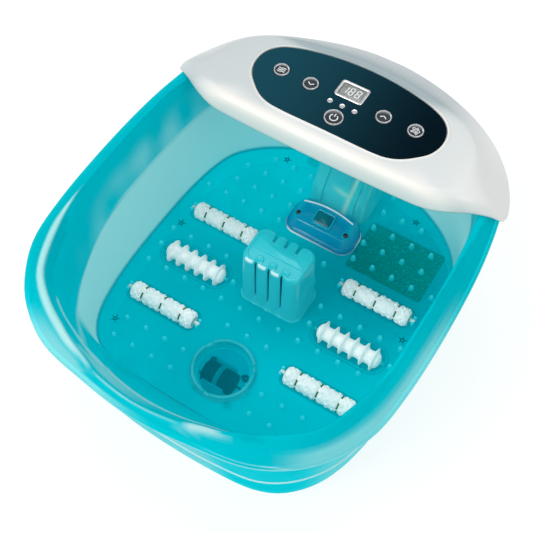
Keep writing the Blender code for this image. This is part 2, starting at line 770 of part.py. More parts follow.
def make_control_board():
    """The board under the overlay, with its five switches."""
    def build(shape):
        plate(shape, rounded_rectangle(0.080, 0.083, 0.141, 0.006, 2), *BOARD_Z)

    def switches(shape):
        for _, x, y, _ in BUTTONS:
            box(shape, (x - 0.003, y - 0.003, BOARD_Z[1] - 0.0005), (x + 0.003, y + 0.003, SWITCH_TOP_Z))

    board = add_object("control_board", mesh_from("control_board", build), BOARD_GREEN)
    boolean(board, "UNION", switches, "switches")


def make_buttons():
    """Round caps with a retaining flange under the hood and a stem over the switch."""
    for name, x, y, radius in BUTTONS:
        flange = radius + BUTTON_FLANGE
        profile = (
            (BUTTON_STEM_Z, 0), (BUTTON_STEM_Z, BUTTON_STEM_RADIUS),
            (BUTTON_FLANGE_Z[0], BUTTON_STEM_RADIUS), (BUTTON_FLANGE_Z[0], flange),
            (BUTTON_FLANGE_Z[1], flange), (BUTTON_FLANGE_Z[1], radius),
            (BUTTON_EDGE_Z, radius), (BUTTON_TOP_Z, radius - 0.0007), (BUTTON_TOP_Z, 0),
        )

        def build(shape):
            turned(shape, (0, 0, 0), profile, 14)
            bmesh.ops.rotate(shape, verts=shape.verts, cent=(0, 0, 0),
                             matrix=Matrix.Rotation(-math.pi / 2, 3, "Y"))
            bmesh.ops.translate(shape, verts=shape.verts, vec=(0, 0, -BOARD_Z[1]))

        button = add_object(name, mesh_from(name, build), SILVER, (x, y, BOARD_Z[1]))
        shade_round(button)


def make_display():
    """Three small lights, the digit display and its frame."""
    for i in (-1, 0, 1):
        def lamp(shape):
            cylinder(shape, (0, 0), LED_RADIUS, BOARD_Z[1] + GAP, LED_TOP_Z, 8)

        add_object(f"indicator_led_{i + 2}", mesh_from("indicator_led", lamp), LED_WHITE,
                   (i * LED_SPACING, LED_Y, 0))

    half_x = DISPLAY_SIZE[0] / 2
    half_y = DISPLAY_SIZE[1] / 2

    def module(shape):
        box(shape, (-half_x, -half_y, BOARD_Z[1] + GAP), (half_x, half_y, DISPLAY_TOP_Z))

    add_object("display_module", mesh_from("display_module", module), DISPLAY_GREY, (0, DISPLAY_Y, 0))

    def bezel(shape):
        plate(shape, rounded_rectangle(BEZEL_SIZE[0] / 2, -BEZEL_SIZE[1] / 2, BEZEL_SIZE[1] / 2, 0.003, 3),
              OVERLAY_Z[1] + GAP / 2, BEZEL_TOP_Z)

    def opening(shape):
        box(shape, (-half_x - GAP, -half_y - GAP, 0.210), (half_x + GAP, half_y + GAP, 0.230))

    frame = add_object("display_bezel", mesh_from("display_bezel", bezel), SILVER, (0, DISPLAY_Y, 0))
    cutter = boolean(frame, "DIFFERENCE", opening, "bezel_opening")
    cutter.location = (0, DISPLAY_Y, 0)


# ---------------------------------------------------------------- rollers

def knob_roller_profile():
    """The sleeve's outside: four segments between three grooves, with rounded ends."""
    half = ROLLER_LENGTH / 2
    groove_floor = ROLLER_RADIUS - GROOVE_DEPTH
    profile = [(-half, ROLLER_RADIUS - 0.0025), (-half + 0.0022, ROLLER_RADIUS)]
    for x in GROOVE_X:
        profile += [
            (x - GROOVE_HALF, ROLLER_RADIUS), (x - GROOVE_HALF, groove_floor),
            (x + GROOVE_HALF, groove_floor), (x + GROOVE_HALF, ROLLER_RADIUS),
        ]
    profile += [(half - 0.0022, ROLLER_RADIUS), (half, ROLLER_RADIUS - 0.0025)]
    return profile


def make_knob_rollers():
    """White sleeves with slots, each on a green axle whose pins lie in the clip posts."""
    half = ROLLER_LENGTH / 2
    for number, (x, y) in enumerate(roller_places(), start=1):
        def sleeve(shape):
            turned(shape, (0, 0, 0), [(-half, 0)] + knob_roller_profile() + [(half, 0)], 12)

        def bore(shape):
            lying_cylinder(shape, (0, 0, 0), ROLLER_BORE, ROLLER_LENGTH + 0.01, "X", 12)

        def slots(shape):
            for groove in GROOVE_X:
                box(shape, (groove - 0.0005, -0.0022, 0.004), (groove + 0.0005, 0.0022, 0.012))
                box(shape, (groove - 0.0005, -0.012, -0.0022), (groove + 0.0005, -0.004, 0.0022))

        roller = add_object(f"roller_{number}", mesh_from("roller", sleeve), ROLLER_WHITE, (x, y, ROLLER_Z))
        shade_round(roller)
        for cut, name in ((bore, "roller_bore"), (slots, "roller_slots")):
            cutter = boolean(roller, "DIFFERENCE", cut, f"{name}_{number}")
            cutter.location = (x, y, ROLLER_Z)

        def axle(shape):
            rod = ROLLER_BORE - GAP
            turned(shape, (0, 0, 0), (
                (-PIN_REACH, 0), (-PIN_REACH, PIN_RADIUS), (-half - 0.0005, PIN_RADIUS),
                (-half - 0.0005, rod), (half + 0.0005, rod), (half + 0.0005, PIN_RADIUS),
                (PIN_REACH, PIN_RADIUS), (PIN_REACH, 0),
            ), 12)

        core = add_object(f"roller_axle_{number}", mesh_from("roller_axle", axle), AXLE_GREEN,
                          (x, y, ROLLER_Z))
        shade_round(core)


def spindle_profile():
    """A slim core with six thin discs and domed ends."""
    half = SPINDLE_LENGTH / 2
    first = -SPINDLE_PITCH * (SPINDLE_DISCS - 1) / 2
    dome = [
        (-half + 0.006 * (1 - math.cos(math.pi / 2 * i / 3)), SPINDLE_CORE * math.sin(math.pi / 2 * i / 3))
        for i in range(4)
    ]
    profile = [(-SPINDLE_PIN_REACH, 0), (-SPINDLE_PIN_REACH, PIN_RADIUS), (-half, PIN_RADIUS)] + dome[1:]
    start = list(profile)
    for disc in range(SPINDLE_DISCS):
        x = first + disc * SPINDLE_PITCH
        profile += [
            (x - 0.0022, SPINDLE_CORE), (x - 0.0006, SPINDLE_DISC), (x + 0.0006, SPINDLE_DISC),
            (x + 0.0022, SPINDLE_CORE),
        ]
    return profile + [(-x, r) for x, r in reversed(start)]


def make_spindles():
    for name, (x, y) in zip(("spindle_roller_left", "spindle_roller_right"), spindle_places()):
        def build(shape):
            turned(shape, (0, 0, 0), spindle_profile(), 12)

        spindle = add_object(name, mesh_from(name, build), ROLLER_WHITE, (x, y, ROLLER_Z))
        shade_round(spindle)


# ---------------------------------------------------------------- on the floor

def make_centre_block():
    """The hollow tower between the feet, slotted at the front and lobed at the top of the back."""
    half_x, half_y = BLOCK_HALF
    low = rounded_rectangle(half_x, -half_y, half_y, 0.010)
    high = rounded_rectangle(half_x - 0.002, -half_y + 0.0005, half_y - 0.002, 0.009)
    height = BLOCK_TOP_Z - FLOOR_Z

    def build(shape):
        loft(shape, (
            raised(low, GAP),
            raised(between(low, high, 0.93), height * 0.93),
            raised(inset_points(high, 0.003), height),
        ), end_cap=True)

    def cuts(shape):
        for x in SLIT_X:
            box(shape, (x - 0.0008, -half_y - 0.004, 0.013), (x + 0.0008, -half_y + 0.004, height - 0.006))
            notch = x * NOTCH_SHARE
            box(shape, (notch - 0.0020, half_y - 0.010, height - 0.0014),
                (notch + 0.0020, half_y + 0.004, height + 0.004))

    block = add_object("centre_block", mesh_from("centre_block", build), PALE_TEAL,
                       (0, BLOCK_CENTRE_Y, FLOOR_Z))
    solidify(block, WALL, -1)
    cutter = boolean(block, "DIFFERENCE", cuts, "block_slits")
    cutter.location = (0, BLOCK_CENTRE_Y, FLOOR_Z)


def heater_top(point):
    """The cover's top rises towards the back and falls away to the sides."""
    return 0.0585 + HEATER_RISE * (point.y - 0.084) - HEATER_CROWN * point.x ** 2


def make_heater_cover():
    """A low rounded cover over the heater, with a window and two screws."""
    low = rounded_rectangle(HEATER_HALF_WIDTH, HEATER_Y[0], HEATER_Y[1], HEATER_CORNER)
    mid = inset_points(low, 0.002)
    high = inset_points(low, 0.009)

    def build(shape):
        loft(shape, (
            raised(low, FLOOR_Z + 3 * GAP),
            raised(mid, lambda p: heater_top(p) - 0.006),
            raised(high, heater_top),
        ), end_cap=True)

    def cuts(shape):
        for side in (-1, 1):
            cylinder(shape, (side * HEATER_SCREW[0], HEATER_SCREW[1]), 0.0018, 0.0440, 0.0700, 8)
        window_body(shape, GAP)

    cover = add_object("heater_cover", mesh_from("heater_cover", build), HEATER_BLUE)
    solidify(cover, WALL, -1)
    boolean(cover, "DIFFERENCE", cuts, "heater_cover_cuts")

    window = mesh_from("infrared_window", lambda shape: window_body(shape, 0.0))
    add_object("infrared_window", window, HOSE_CLEAR)
    for number, side in enumerate((-1, 1), start=1):
        place = (side * HEATER_SCREW[0], HEATER_SCREW[1])
        seat = heater_top(Vector(place)) + 0.0004
        make_screw(f"heater_cover_screw_{number}", place, seat, 0.0028, 0.0014, 0.0075, False)


def window_body(shape, grow):
    """The window's tilted plate, or the hole for it when it is grown."""
    half_x = WINDOW_HALF[0] + grow
    half_y = WINDOW_HALF[1] + grow
    corners = box(shape, (-half_x, -half_y, -0.004 - grow), (half_x, half_y, 0.0006))
    if grow:
        for corner in corners:
            corner.co.z += 0.004 if corner.co.z > 0 else 0
    centre = Vector((0, WINDOW_Y, heater_top(Vector((0, WINDOW_Y)))))
    bmesh.ops.transform(shape, verts=corners,
                        matrix=Matrix.Translation(centre) @ Matrix.Rotation(math.atan(HEATER_RISE), 4, "X"))


def make_heater_element():
    """The heater plate on the floor, under its cover."""
    def build(shape):
        plate(shape, rounded_rectangle(0.019, 0.085, 0.108, 0.003, 2), FLOOR_Z + GAP, 0.0465)

    add_object("heater_element", mesh_from("heater_element", build), HEATER_CERAMIC)


def make_duct():
    """The hollow column from the floor to the hood, open at both ends, that the wiring runs in."""
    def build(shape):
        loft(shape, [
            raised(rounded_rectangle(half_x, front, back, DUCT_CORNER), height)
            for half_x, front, back, height in DUCT_SECTIONS
        ])

    duct = add_object("rear_duct", mesh_from("rear_duct", build), PALE_TEAL)
    solidify(duct, WALL, -1)


def make_well_ring():
    """The raised ring round the well, with three breaks in its top."""
    def build(shape):
        cylinder(shape, (0, 0), WELL_RING_RADIUS, GAP, WELL_RING_HEIGHT, 32, WELL_RING_RADIUS - 0.001)

    def cuts(shape):
        cylinder(shape, (0, 0), WELL_RADIUS + 0.0006, -0.01, 0.02, 32)

    def breaks(shape):
        for i in range(3):
            corners = box(shape, (0.020, -0.004, WELL_RING_HEIGHT - 0.0025), (0.040, 0.004, 0.012))
            bmesh.ops.rotate(shape, verts=corners, cent=(0, 0, 0),
                             matrix=Matrix.Rotation(math.tau * i / 3 + math.pi / 6, 3, "Z"))

    ring = add_object("well_ring", mesh_from("well_ring", build), PALE_TEAL, (0, WELL_Y, FLOOR_Z))
    shade_round(ring)
    for cut, name in ((cuts, "ring_bore"), (breaks, "ring_breaks")):
        cutter = boolean(ring, "DIFFERENCE", cut, name)
        cutter.location = (0, WELL_Y, FLOOR_Z)


# ---------------------------------------------------------------- under the floor

def make_motor():
    """The vibration motor under the well, its bracket and the weight on its shaft."""
    def motor(shape):
        turned(shape, (0, 0, 0), (
            (-0.017, 0), (-0.017, MOTOR_RADIUS - 0.001), (-0.016, MOTOR_RADIUS), (0.016, MOTOR_RADIUS),
            (0.017, MOTOR_RADIUS - 0.001), (0.017, SHAFT_RADIUS), (0.030, SHAFT_RADIUS), (0.030, 0),
        ), 20)

    body = add_object("vibration_motor", mesh_from("vibration_motor", motor), BLACK_PLASTIC,
                      (0, WELL_Y, MOTOR_Z))
    shade_round(body)

    def bracket(shape):
        plate(shape, rounded_rectangle(0.0225, -0.0215, 0.0215, 0.005, 2), 0.0064, 0.0086)

    def cheeks(shape):
        for near_y, far_y in ((-0.0150, -0.0120), (0.0120, 0.0150)):
            box(shape, (-0.012, near_y, 0.0080), (0.012, far_y, 0.0300))

    cradle = add_object("motor_bracket", mesh_from("motor_bracket", bracket), STEEL, (0, WELL_Y, 0))
    boolean(cradle, "UNION", cheeks, "bracket_cheeks").location = (0, WELL_Y, 0)

    def weight(shape):
        lying_cylinder(shape, (0, 0, 0), 0.0080, 0.006, "X", 16)

    def bore(shape):
        lying_cylinder(shape, (0, 0, 0), SHAFT_RADIUS + GAP, 0.02, "X", 12)

    def upper_half(shape):
        box(shape, (-0.01, -0.02, 0.0030), (0.01, 0.02, 0.02))

    place = (0.0235, WELL_Y, MOTOR_Z)
    eccentric = add_object("eccentric_weight", mesh_from("eccentric_weight", weight), STEEL, place)
    for cut, name in ((bore, "weight_bore"), (upper_half, "weight_flat")):
        boolean(eccentric, "DIFFERENCE", cut, name).location = place


def make_pump():
    """The air pump for the bubbles, and its hose to the floor's air inlet."""
    def pump(shape):
        plate(shape, rounded_rectangle(0.030, -0.024, 0.024, 0.006, 3), 0.0070, 0.0320)

    def outlet(shape):
        lying_cylinder(shape, (0.0325, 0, 0.020), 0.0028, 0.009, "X", 10)

    pump_body = add_object("air_pump", mesh_from("air_pump", pump), BLACK_PLASTIC, PUMP_PLACE)
    boolean(pump_body, "UNION", outlet, "pump_outlet").location = PUMP_PLACE
    make_tube("air_hose", ((-0.0426, 0.104, 0.020), (-0.036, 0.104, 0.020), (-0.026, 0.109, 0.021),
                           (-0.018, 0.120, 0.025), (-0.016, 0.128, 0.032), (-0.016, 0.130, 0.0385)),
              0.0025, HOSE_CLEAR)


def make_tube(name, points, radius, look):
    """A round tube through a few points, as a curve with filled ends."""
    curve = bpy.data.curves.new(name, "CURVE")
    curve.dimensions = "3D"
    curve.bevel_depth = radius
    curve.bevel_resolution = 2
    curve.use_fill_caps = True
    spline = curve.splines.new("POLY")
    route = smooth_route(points)
    spline.points.add(len(route) - 1)
    for knot, point in zip(spline.points, route):
        knot.co = (*point, 1)
    tube = bpy.data.objects.new(name, curve)
    parts.objects.link(tube)
    curve.materials.append(look)


def smooth_route(points, steps=3):
    """Points along a smooth curve through the given ones."""
    nodes = [Vector(p) for p in points]
    nodes = [2 * nodes[0] - nodes[1]] + nodes + [2 * nodes[-1] - nodes[-2]]
    route = []
    for i in range(1, len(nodes) - 2):
        route += [centripetal(nodes[i - 1:i + 3], step / steps) for step in range(steps)]
    return route + [nodes[-2]]


def make_power_board():
    """The mains board under the rear right of the floor, with its parts on its lower side."""
    def board(shape):
        plate(shape, rounded_rectangle(0.0432, -0.0315, 0.0315, 0.003, 2), 0.0290, 0.0306)

    def devices(shape):
        box(shape, (-0.030, -0.020, 0.0120), (-0.008, 0.006, 0.0295))
        box(shape, (0.008, -0.012, 0.0160), (0.026, 0.010, 0.0295))
        cylinder(shape, (-0.020, 0.020), 0.006, 0.0100, 0.0295, 12)
        cylinder(shape, (0.032, 0.020), 0.004, 0.0160, 0.0295, 12)

    panel = add_object("power_board", mesh_from("power_board", board), BOARD_GREEN, POWER_BOARD_PLACE)
    boolean(panel, "UNION", devices, "board_devices").location = POWER_BOARD_PLACE


def make_harness():
    """The wires from the mains board up the rear duct to the control board."""
    make_tube("wiring_harness", ((0.0375, 0.112, 0.0245), (0.028, 0.124, 0.0235), (0.010, 0.146, 0.022),
                                 (0.001, 0.157, 0.030), (0, DUCT_HOLE_Y, 0.050), (0, DUCT_HOLE_Y, 0.100),
                                 (0, DUCT_HOLE_Y, 0.150), (0, DUCT_HOLE_Y, 0.190),
                                 (0, DUCT_HOLE_Y - 0.004, 0.2045), (0, 0.1465, 0.2095)),
              0.0030, BLACK_PLASTIC)


make_tub()
make_casing()
make_base_plate()
make_base_screws()
make_feet()
make_gland()
make_hood()
make_tray()
make_control_board()
make_buttons()
make_display()
make_knob_rollers()
make_spindles()
make_centre_block()
make_heater_cover()
make_heater_element()
make_duct()
make_well_ring()
make_motor()
make_pump()
make_power_board()
make_harness()
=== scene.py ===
"""Foot spa basin: the detailed visual model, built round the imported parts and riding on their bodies."""

import math

import bmesh
import bpy
from mathutils import Matrix, Vector


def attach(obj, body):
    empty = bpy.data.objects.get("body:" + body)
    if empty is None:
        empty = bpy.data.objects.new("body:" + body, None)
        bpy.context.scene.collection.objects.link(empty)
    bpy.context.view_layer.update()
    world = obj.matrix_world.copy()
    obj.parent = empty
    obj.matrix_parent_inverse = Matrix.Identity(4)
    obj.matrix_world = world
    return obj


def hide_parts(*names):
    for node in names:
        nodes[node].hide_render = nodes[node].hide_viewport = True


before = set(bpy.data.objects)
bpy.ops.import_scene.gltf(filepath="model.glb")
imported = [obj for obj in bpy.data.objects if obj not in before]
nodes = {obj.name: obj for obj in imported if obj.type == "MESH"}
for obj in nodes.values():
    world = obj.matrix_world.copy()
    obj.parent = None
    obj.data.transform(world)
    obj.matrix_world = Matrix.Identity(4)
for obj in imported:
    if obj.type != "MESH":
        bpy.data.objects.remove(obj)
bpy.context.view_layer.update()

# ---------------------------------------------------------------- sizes, in metres

GAP = 0.0004
WALL = 0.0020
FLOOR_Z = 0.0415
CREST_Z = 0.2016
CREST_BACK_Z = 0.1975
FLANGE_Z = 0.1838
FLANGE_FRONT_Z = 0.1975
SKIRT_Z = 0.1752
BASE_Z = 0.0030
RIDGE_Z = 0.0590
RIDGE_STEP = 0.0014
CASING_TOP_Z = 0.1795
HOOD_TOP_Z = 0.2194
HOOD_EDGE_Z = 0.1840
HOOD_LEAN = (0.15, 0.80)
HOOD_WALL = 0.0022
OVERLAY_TOP_Z = 0.2197
STEPS = 72  # points on each half of an outline
COVER_WALL = 0.0016  # heater cover and duct
WELD = 0.000001  # points closer than this become one

FLOOR_OUTLINE = (
    (0, -0.1465), (0.073, -0.145), (0.104, -0.141), (0.122, -0.133), (0.1335, -0.12),
    (0.141, -0.104), (0.147, -0.074), (0.15, -0.036), (0.15, 0.03), (0.1475, 0.074), (0.142, 0.108),
    (0.134, 0.13), (0.121, 0.146), (0.104, 0.16), (0.08, 0.173), (0.045, 0.1835), (0, 0.187),
)
CREST_OUTLINE = (
    (0, -0.2105), (0.036, -0.206), (0.052, -0.2005), (0.071, -0.1945), (0.085, -0.1875),
    (0.109, -0.174), (0.1305, -0.1548), (0.1447, -0.1216), (0.1518, -0.091), (0.1542, -0.043),
    (0.1542, 0.028), (0.15, 0.08), (0.146, 0.104), (0.139, 0.121), (0.128, 0.137), (0.112, 0.153),
    (0.087, 0.1705), (0.055, 0.1835), (0.022, 0.1895), (0, 0.19),
)
FLANGE_OUTLINE = (
    (0, -0.2145), (0.053, -0.2095), (0.1, -0.2), (0.133, -0.1795), (0.153, -0.155), (0.166, -0.128),
    (0.1725, -0.086), (0.175, -0.016), (0.1726, 0.051), (0.1665, 0.098), (0.1625, 0.115),
    (0.1545, 0.131), (0.145, 0.1445), (0.1265, 0.165), (0.098, 0.1848), (0.059, 0.2005),
    (0.022, 0.2083), (0, 0.209),
)
BASE_OUTLINE = (
    (0, -0.1745), (0.067, -0.171), (0.086, -0.1665), (0.102, -0.159), (0.117, -0.146),
    (0.129, -0.13), (0.138, -0.11), (0.1445, -0.084), (0.149, -0.051), (0.151, -0.001),
    (0.1495, 0.074), (0.1435, 0.118), (0.131, 0.145), (0.11, 0.166), (0.08, 0.181), (0.045, 0.1905),
    (0, 0.194),
)
RIDGE_OUTLINE = (
    (0, -0.1845), (0.034, -0.1837), (0.063, -0.181), (0.083, -0.1775), (0.097, -0.172),
    (0.1105, -0.1635), (0.122, -0.153), (0.1335, -0.1385), (0.1435, -0.1195), (0.15, -0.098),
    (0.155, -0.071), (0.158, -0.036), (0.1585, 0.004), (0.157, 0.049), (0.1535, 0.094),
    (0.1475, 0.122), (0.136, 0.146), (0.117, 0.166), (0.09, 0.182), (0.05, 0.194), (0, 0.1985),
)
HOOD_OUTLINE = (
    (0, 0.0592), (0.085, 0.0605), (0.109, 0.0625), (0.1245, 0.068), (0.1447, 0.0788), (0.16, 0.09),
    (0.1705, 0.099), (0.168, 0.115), (0.16, 0.1325), (0.15, 0.148), (0.13, 0.1695), (0.1, 0.19),
    (0.06, 0.206), (0.022, 0.2137), (0, 0.2145),
)
HOOD_TOP_OUTLINE = (
    (0, 0.0675), (0.085, 0.0695), (0.108, 0.0735), (0.121, 0.083), (0.127, 0.099), (0.125, 0.117),
    (0.116, 0.135), (0.099, 0.149), (0.074, 0.1585), (0.04, 0.165), (0, 0.1675),
)
OVERLAY_OUTLINE = (
    (0, 0.0793), (0.048, 0.0793), (0.06, 0.0808), (0.071, 0.0855), (0.082, 0.0945),
    (0.0905, 0.1045), (0.0945, 0.1185), (0.0925, 0.1325), (0.084, 0.1435), (0.07, 0.1508),
    (0.05, 0.1562), (0.025, 0.1602), (0, 0.1615),
)

ROLLER_X = 0.0895
ROLLER_Z = 0.0430
KNOB_ROLLER_Y = (0.0471, -0.0671)
SPINDLE_Y = -0.0097
ROLLER_LENGTH = 0.0735
ROLLER_RADIUS = 0.0086
ROLLER_BORE = 0.0056
ROLLER_POCKET = (0.0112, 0.0790)  # radius, length
PIN_RADIUS = 0.0020
PIN_REACH = 0.0425
SPINDLE_LENGTH = 0.0690
SPINDLE_PIN_REACH = 0.0390
SPINDLE_CORE = 0.0070
SPINDLE_DISC = 0.0120
SPINDLE_PITCH = 0.0112
SPINDLE_POCKET = (0.0134, 0.0740)
GROOVES = (-0.0225, 0.0, 0.0225)

NUB_PITCH = 0.0223
NUB_RADIUS = 0.0027
NUB_HEIGHT = 0.0058
NUB_FIRST_Y = -0.1202
NUB_ROWS = 14
NUB_COLUMNS = 6

WELL_Y = -0.0955
WELL_RADIUS = 0.0272
WELL_DEPTH = 0.0040
WELL_RING_RADIUS = 0.0320
WELL_RING_HEIGHT = 0.0060

BLOCK_CENTRE_Y = 0.0055
BLOCK_HALF = (0.0330, 0.0225)
BLOCK_TOP_Z = 0.1139
SLIT_X = (-0.0142, 0, 0.0142)
NOTCH_X = (-0.0120, 0.0005, 0.0130)

HEATER_Y = (0.0764, 0.1165)
HEATER_HALF_WIDTH = 0.0390
HEATER_SCREW = (0.0280, 0.0921)
WINDOW_Y = 0.0950
WINDOW_HALF = (0.0090, 0.0062)
DUCT_HOLE_Y = 0.1590
DUCT_HOLE_RADIUS = 0.0110
BOSS_PLACES = ((0.0795, 0.1547), (0.1310, 0.0237), (0.1222, -0.1044))

BUTTONS = (  # name, x, y, radius
    ("vibration_button", -0.0684, 0.1198, 0.0077),
    ("temp_down_button", -0.0372, 0.1191, 0.0077),
    ("power_button", 0.0, 0.0954, 0.0092),
    ("temp_up_button", 0.0372, 0.1191, 0.0077),
    ("bubble_button", 0.0684, 0.1198, 0.0077),
)
LED_SPACING = 0.01245
LED_Y = 0.1108
LED_RADIUS = 0.0015
DISPLAY_Y = 0.1295
DISPLAY_SIZE = (0.0220, 0.0140)
BEZEL_SIZE = (0.0285, 0.0202)
DISH_Z = 0.2198  # the buttons' dark faces
GLASS_Z = 0.2203
LINE_HEIGHT = 0.0002  # printed icons
MOTOR_X = -0.0050
MOTOR_Z = 0.0205

# ---------------------------------------------------------------- materials

def new_material(name):
    """A material with a Principled shader, and the coordinates its textures use."""
    look = bpy.data.materials.new(name)
    look.use_nodes = True
    tree = look.node_tree
    place = tree.nodes.new("ShaderNodeTexCoord").outputs["Object"]
    return look, tree, tree.nodes["Principled BSDF"], place


def noise(tree, place, scale, detail=3.0, stretch=None):
    """A noise texture's value, stretched along the axes if asked."""
    if stretch:
        mapping = tree.nodes.new("ShaderNodeMapping")
        mapping.inputs["Scale"].default_value = stretch
        tree.links.new(place, mapping.inputs["Vector"])
        place = mapping.outputs["Vector"]
    texture = tree.nodes.new("ShaderNodeTexNoise")
    texture.inputs["Scale"].default_value = scale
    texture.inputs["Detail"].default_value = detail
    tree.links.new(place, texture.inputs["Vector"])
    return texture.outputs["Fac"]


def mapped(tree, value, low, high, start=0.0, end=1.0):
    """A value brought from one range to another, easing in and out."""
    node = tree.nodes.new("ShaderNodeMapRange")
    node.interpolation_type = "SMOOTHSTEP"
    node.inputs["From Min"].default_value = start
    node.inputs["From Max"].default_value = end
    node.inputs["To Min"].default_value = low
    node.inputs["To Max"].default_value = high
    tree.links.new(value, node.inputs["Value"])
    return node.outputs["Result"]


def mixed(tree, share, first, second):
    """A colour between two colours or sockets."""
    node = tree.nodes.new("ShaderNodeMix")
    node.data_type = "RGBA"
    tree.links.new(share, node.inputs["Factor"])
    for colour, socket in ((first, node.inputs["A"]), (second, node.inputs["B"])):
        if isinstance(colour, tuple):
            socket.default_value = (*colour, 1)
        else:
            tree.links.new(colour, socket)
    return node.outputs["Result"]


def attribute(tree, name):
    """A painted mask's value, read from the mesh."""
    node = tree.nodes.new("ShaderNodeAttribute")
    node.attribute_name = name
    return node.outputs["Fac"]


def patched(tree, place, centre, near_by, far_off, inside, outside):
    """A value that changes with the distance from a centre."""
    distance = tree.nodes.new("ShaderNodeVectorMath")
    distance.operation = "DISTANCE"
    distance.inputs[1].default_value = centre
    tree.links.new(place, distance.inputs[0])
    return mapped(tree, distance.outputs["Value"], inside, outside, near_by, far_off)


def surface(name, dark, light, roughness, patch=35, grain=900, bump=0.00004, metallic=0.0,
            specular=0.5, coat=0.0, masks=(), glow=0.0, zones=(), ior=1.45, uneven=1.0):
    """Moulded plastic, metal or rubber: clouded colour, uneven gloss, and a fine grain in its relief.

    masks are (mesh attribute, colour) pairs that tint the surface where the attribute is high; here they
    carry painted light, painted highlights and painted shade. glow is an emission strength, painted light: on
    clear plastics it stands in for the light that comes through them. zones are round patches of painted
    shade and
    painted light in another colour: (centre, full within, gone beyond, share, colour). uneven is how much the
    gloss varies.
    """
    look, tree, shader, place = new_material(name)
    clouding = mapped(tree, noise(tree, place, patch), 0, 1, 0.35, 0.65)
    colour = mixed(tree, clouding, dark, light)
    for centre, near_by, far_off, share, tint in zones:
        colour = mixed(tree, patched(tree, place, centre, near_by, far_off, share, 0), colour, tint)
    for mask, tint in masks:
        colour = mixed(tree, attribute(tree, mask), colour, tint)
    tree.links.new(colour, shader.inputs["Base Color"])
    # glow: an emission, painted light added to the colour
    if glow:
        tree.links.new(colour, shader.inputs["Emission Color"])
        shader.inputs["Emission Strength"].default_value = glow
    fine = noise(tree, place, grain, 2.0)
    glossy = roughness * (1 - 0.20 * uneven)
    dull = roughness * (1 + 0.25 * uneven)
    gloss = mapped(tree, noise(tree, place, patch * 3, 4.0), glossy, dull, 0.3, 0.7)
    tree.links.new(gloss, shader.inputs["Roughness"])
    relief = tree.nodes.new("ShaderNodeBump")
    relief.inputs["Strength"].default_value = 1.0
    relief.inputs["Distance"].default_value = bump
    tree.links.new(fine, relief.inputs["Height"])
    tree.links.new(relief.outputs["Normal"], shader.inputs["Normal"])
    shader.inputs["Metallic"].default_value = metallic
    shader.inputs["Specular IOR Level"].default_value = specular
    shader.inputs["IOR"].default_value = ior
    shader.inputs["Coat Weight"].default_value = coat
    shader.inputs["Coat Roughness"].default_value = 0.08
    return look


def clear(look, tint, solid, thin=None):
    """Let part of the light through a material, tinted. solid is the share that doesn't pass.

    thin is a round patch with another share: (centre, full within, gone beyond, share).
    """
    tree = look.node_tree
    shader = tree.nodes["Principled BSDF"]
    output = tree.nodes["Material Output"]
    through = tree.nodes.new("ShaderNodeBsdfTransparent")
    through.inputs["Color"].default_value = (*tint, 1)
    mix = tree.nodes.new("ShaderNodeMixShader")
    mix.inputs["Fac"].default_value = solid
    if thin:
        centre, near_by, far_off, share = thin
        place = tree.nodes["Texture Coordinate"].outputs["Object"]
        tree.links.new(patched(tree, place, centre, near_by, far_off, share, solid), mix.inputs["Fac"])
    tree.links.new(through.outputs["BSDF"], mix.inputs[1])
    tree.links.new(shader.outputs["BSDF"], mix.inputs[2])
    tree.links.new(mix.outputs["Shader"], output.inputs["Surface"])
    return look


# In the materials below, glow is an emission, painted light; on the clear plastics it stands in for light
# coming through them.
TEAL_TINT = (0.13, 0.92, 0.95)
BLUE_TINT = (0.05, 0.55, 0.8)
# Colours of painted light on the tub's walls and rim, and of painted highlight lines.
WALL_LIGHT_PAINT = (0.60, 0.88, 0.83)
HIGHLIGHT_PAINT = (0.66, 0.84, 0.80)
NO_SHINE = 1.005  # an index of refraction that leaves out the white sheen at flat angles


def clear_teal(name, dark, light, roughness, solid, thin=None, **more):
    """A surface in the tub's tinted clear plastic."""
    return clear(surface("clear_teal" + name, dark, light, roughness, **more), TEAL_TINT, solid, thin)


# The tub's masks paint shade on the rim and round the pockets, light on the walls and rim, and highlight
# lines. Its round patches are painted shadow on the floor round the tower and between the tower and the
# heater, and a painted pool of light at the back left.
TUB = clear_teal(
    "", (0.0, 0.48, 0.55), (0.0, 0.53, 0.60), 0.28, 0.62, ((0.098, 0.088, FLOOR_Z), 0.050, 0.085, 0.30),
    patch=9, ior=NO_SHINE, glow=0.26,
    masks=(("painted_shade", (0.0, 0.28, 0.34)), ("painted_light", WALL_LIGHT_PAINT), ("painted_highlight", HIGHLIGHT_PAINT)),
    zones=(((-0.04, -0.03, FLOOR_Z), 0.03, 0.11, 0.42, (0.0, 0.32, 0.37)),
           ((0.06, 0.05, FLOOR_Z), 0.02, 0.14, 0.72, (0.0, 0.27, 0.33)),
           ((-0.09, 0.13, FLOOR_Z), 0.04, 0.12, 0.75, (0.0, 0.78, 0.86))))
WELL = clear_teal("_well", (0.0, 0.40, 0.54), (0.0, 0.46, 0.60), 0.2, 0.14, patch=30, ior=NO_SHINE, glow=0.1)
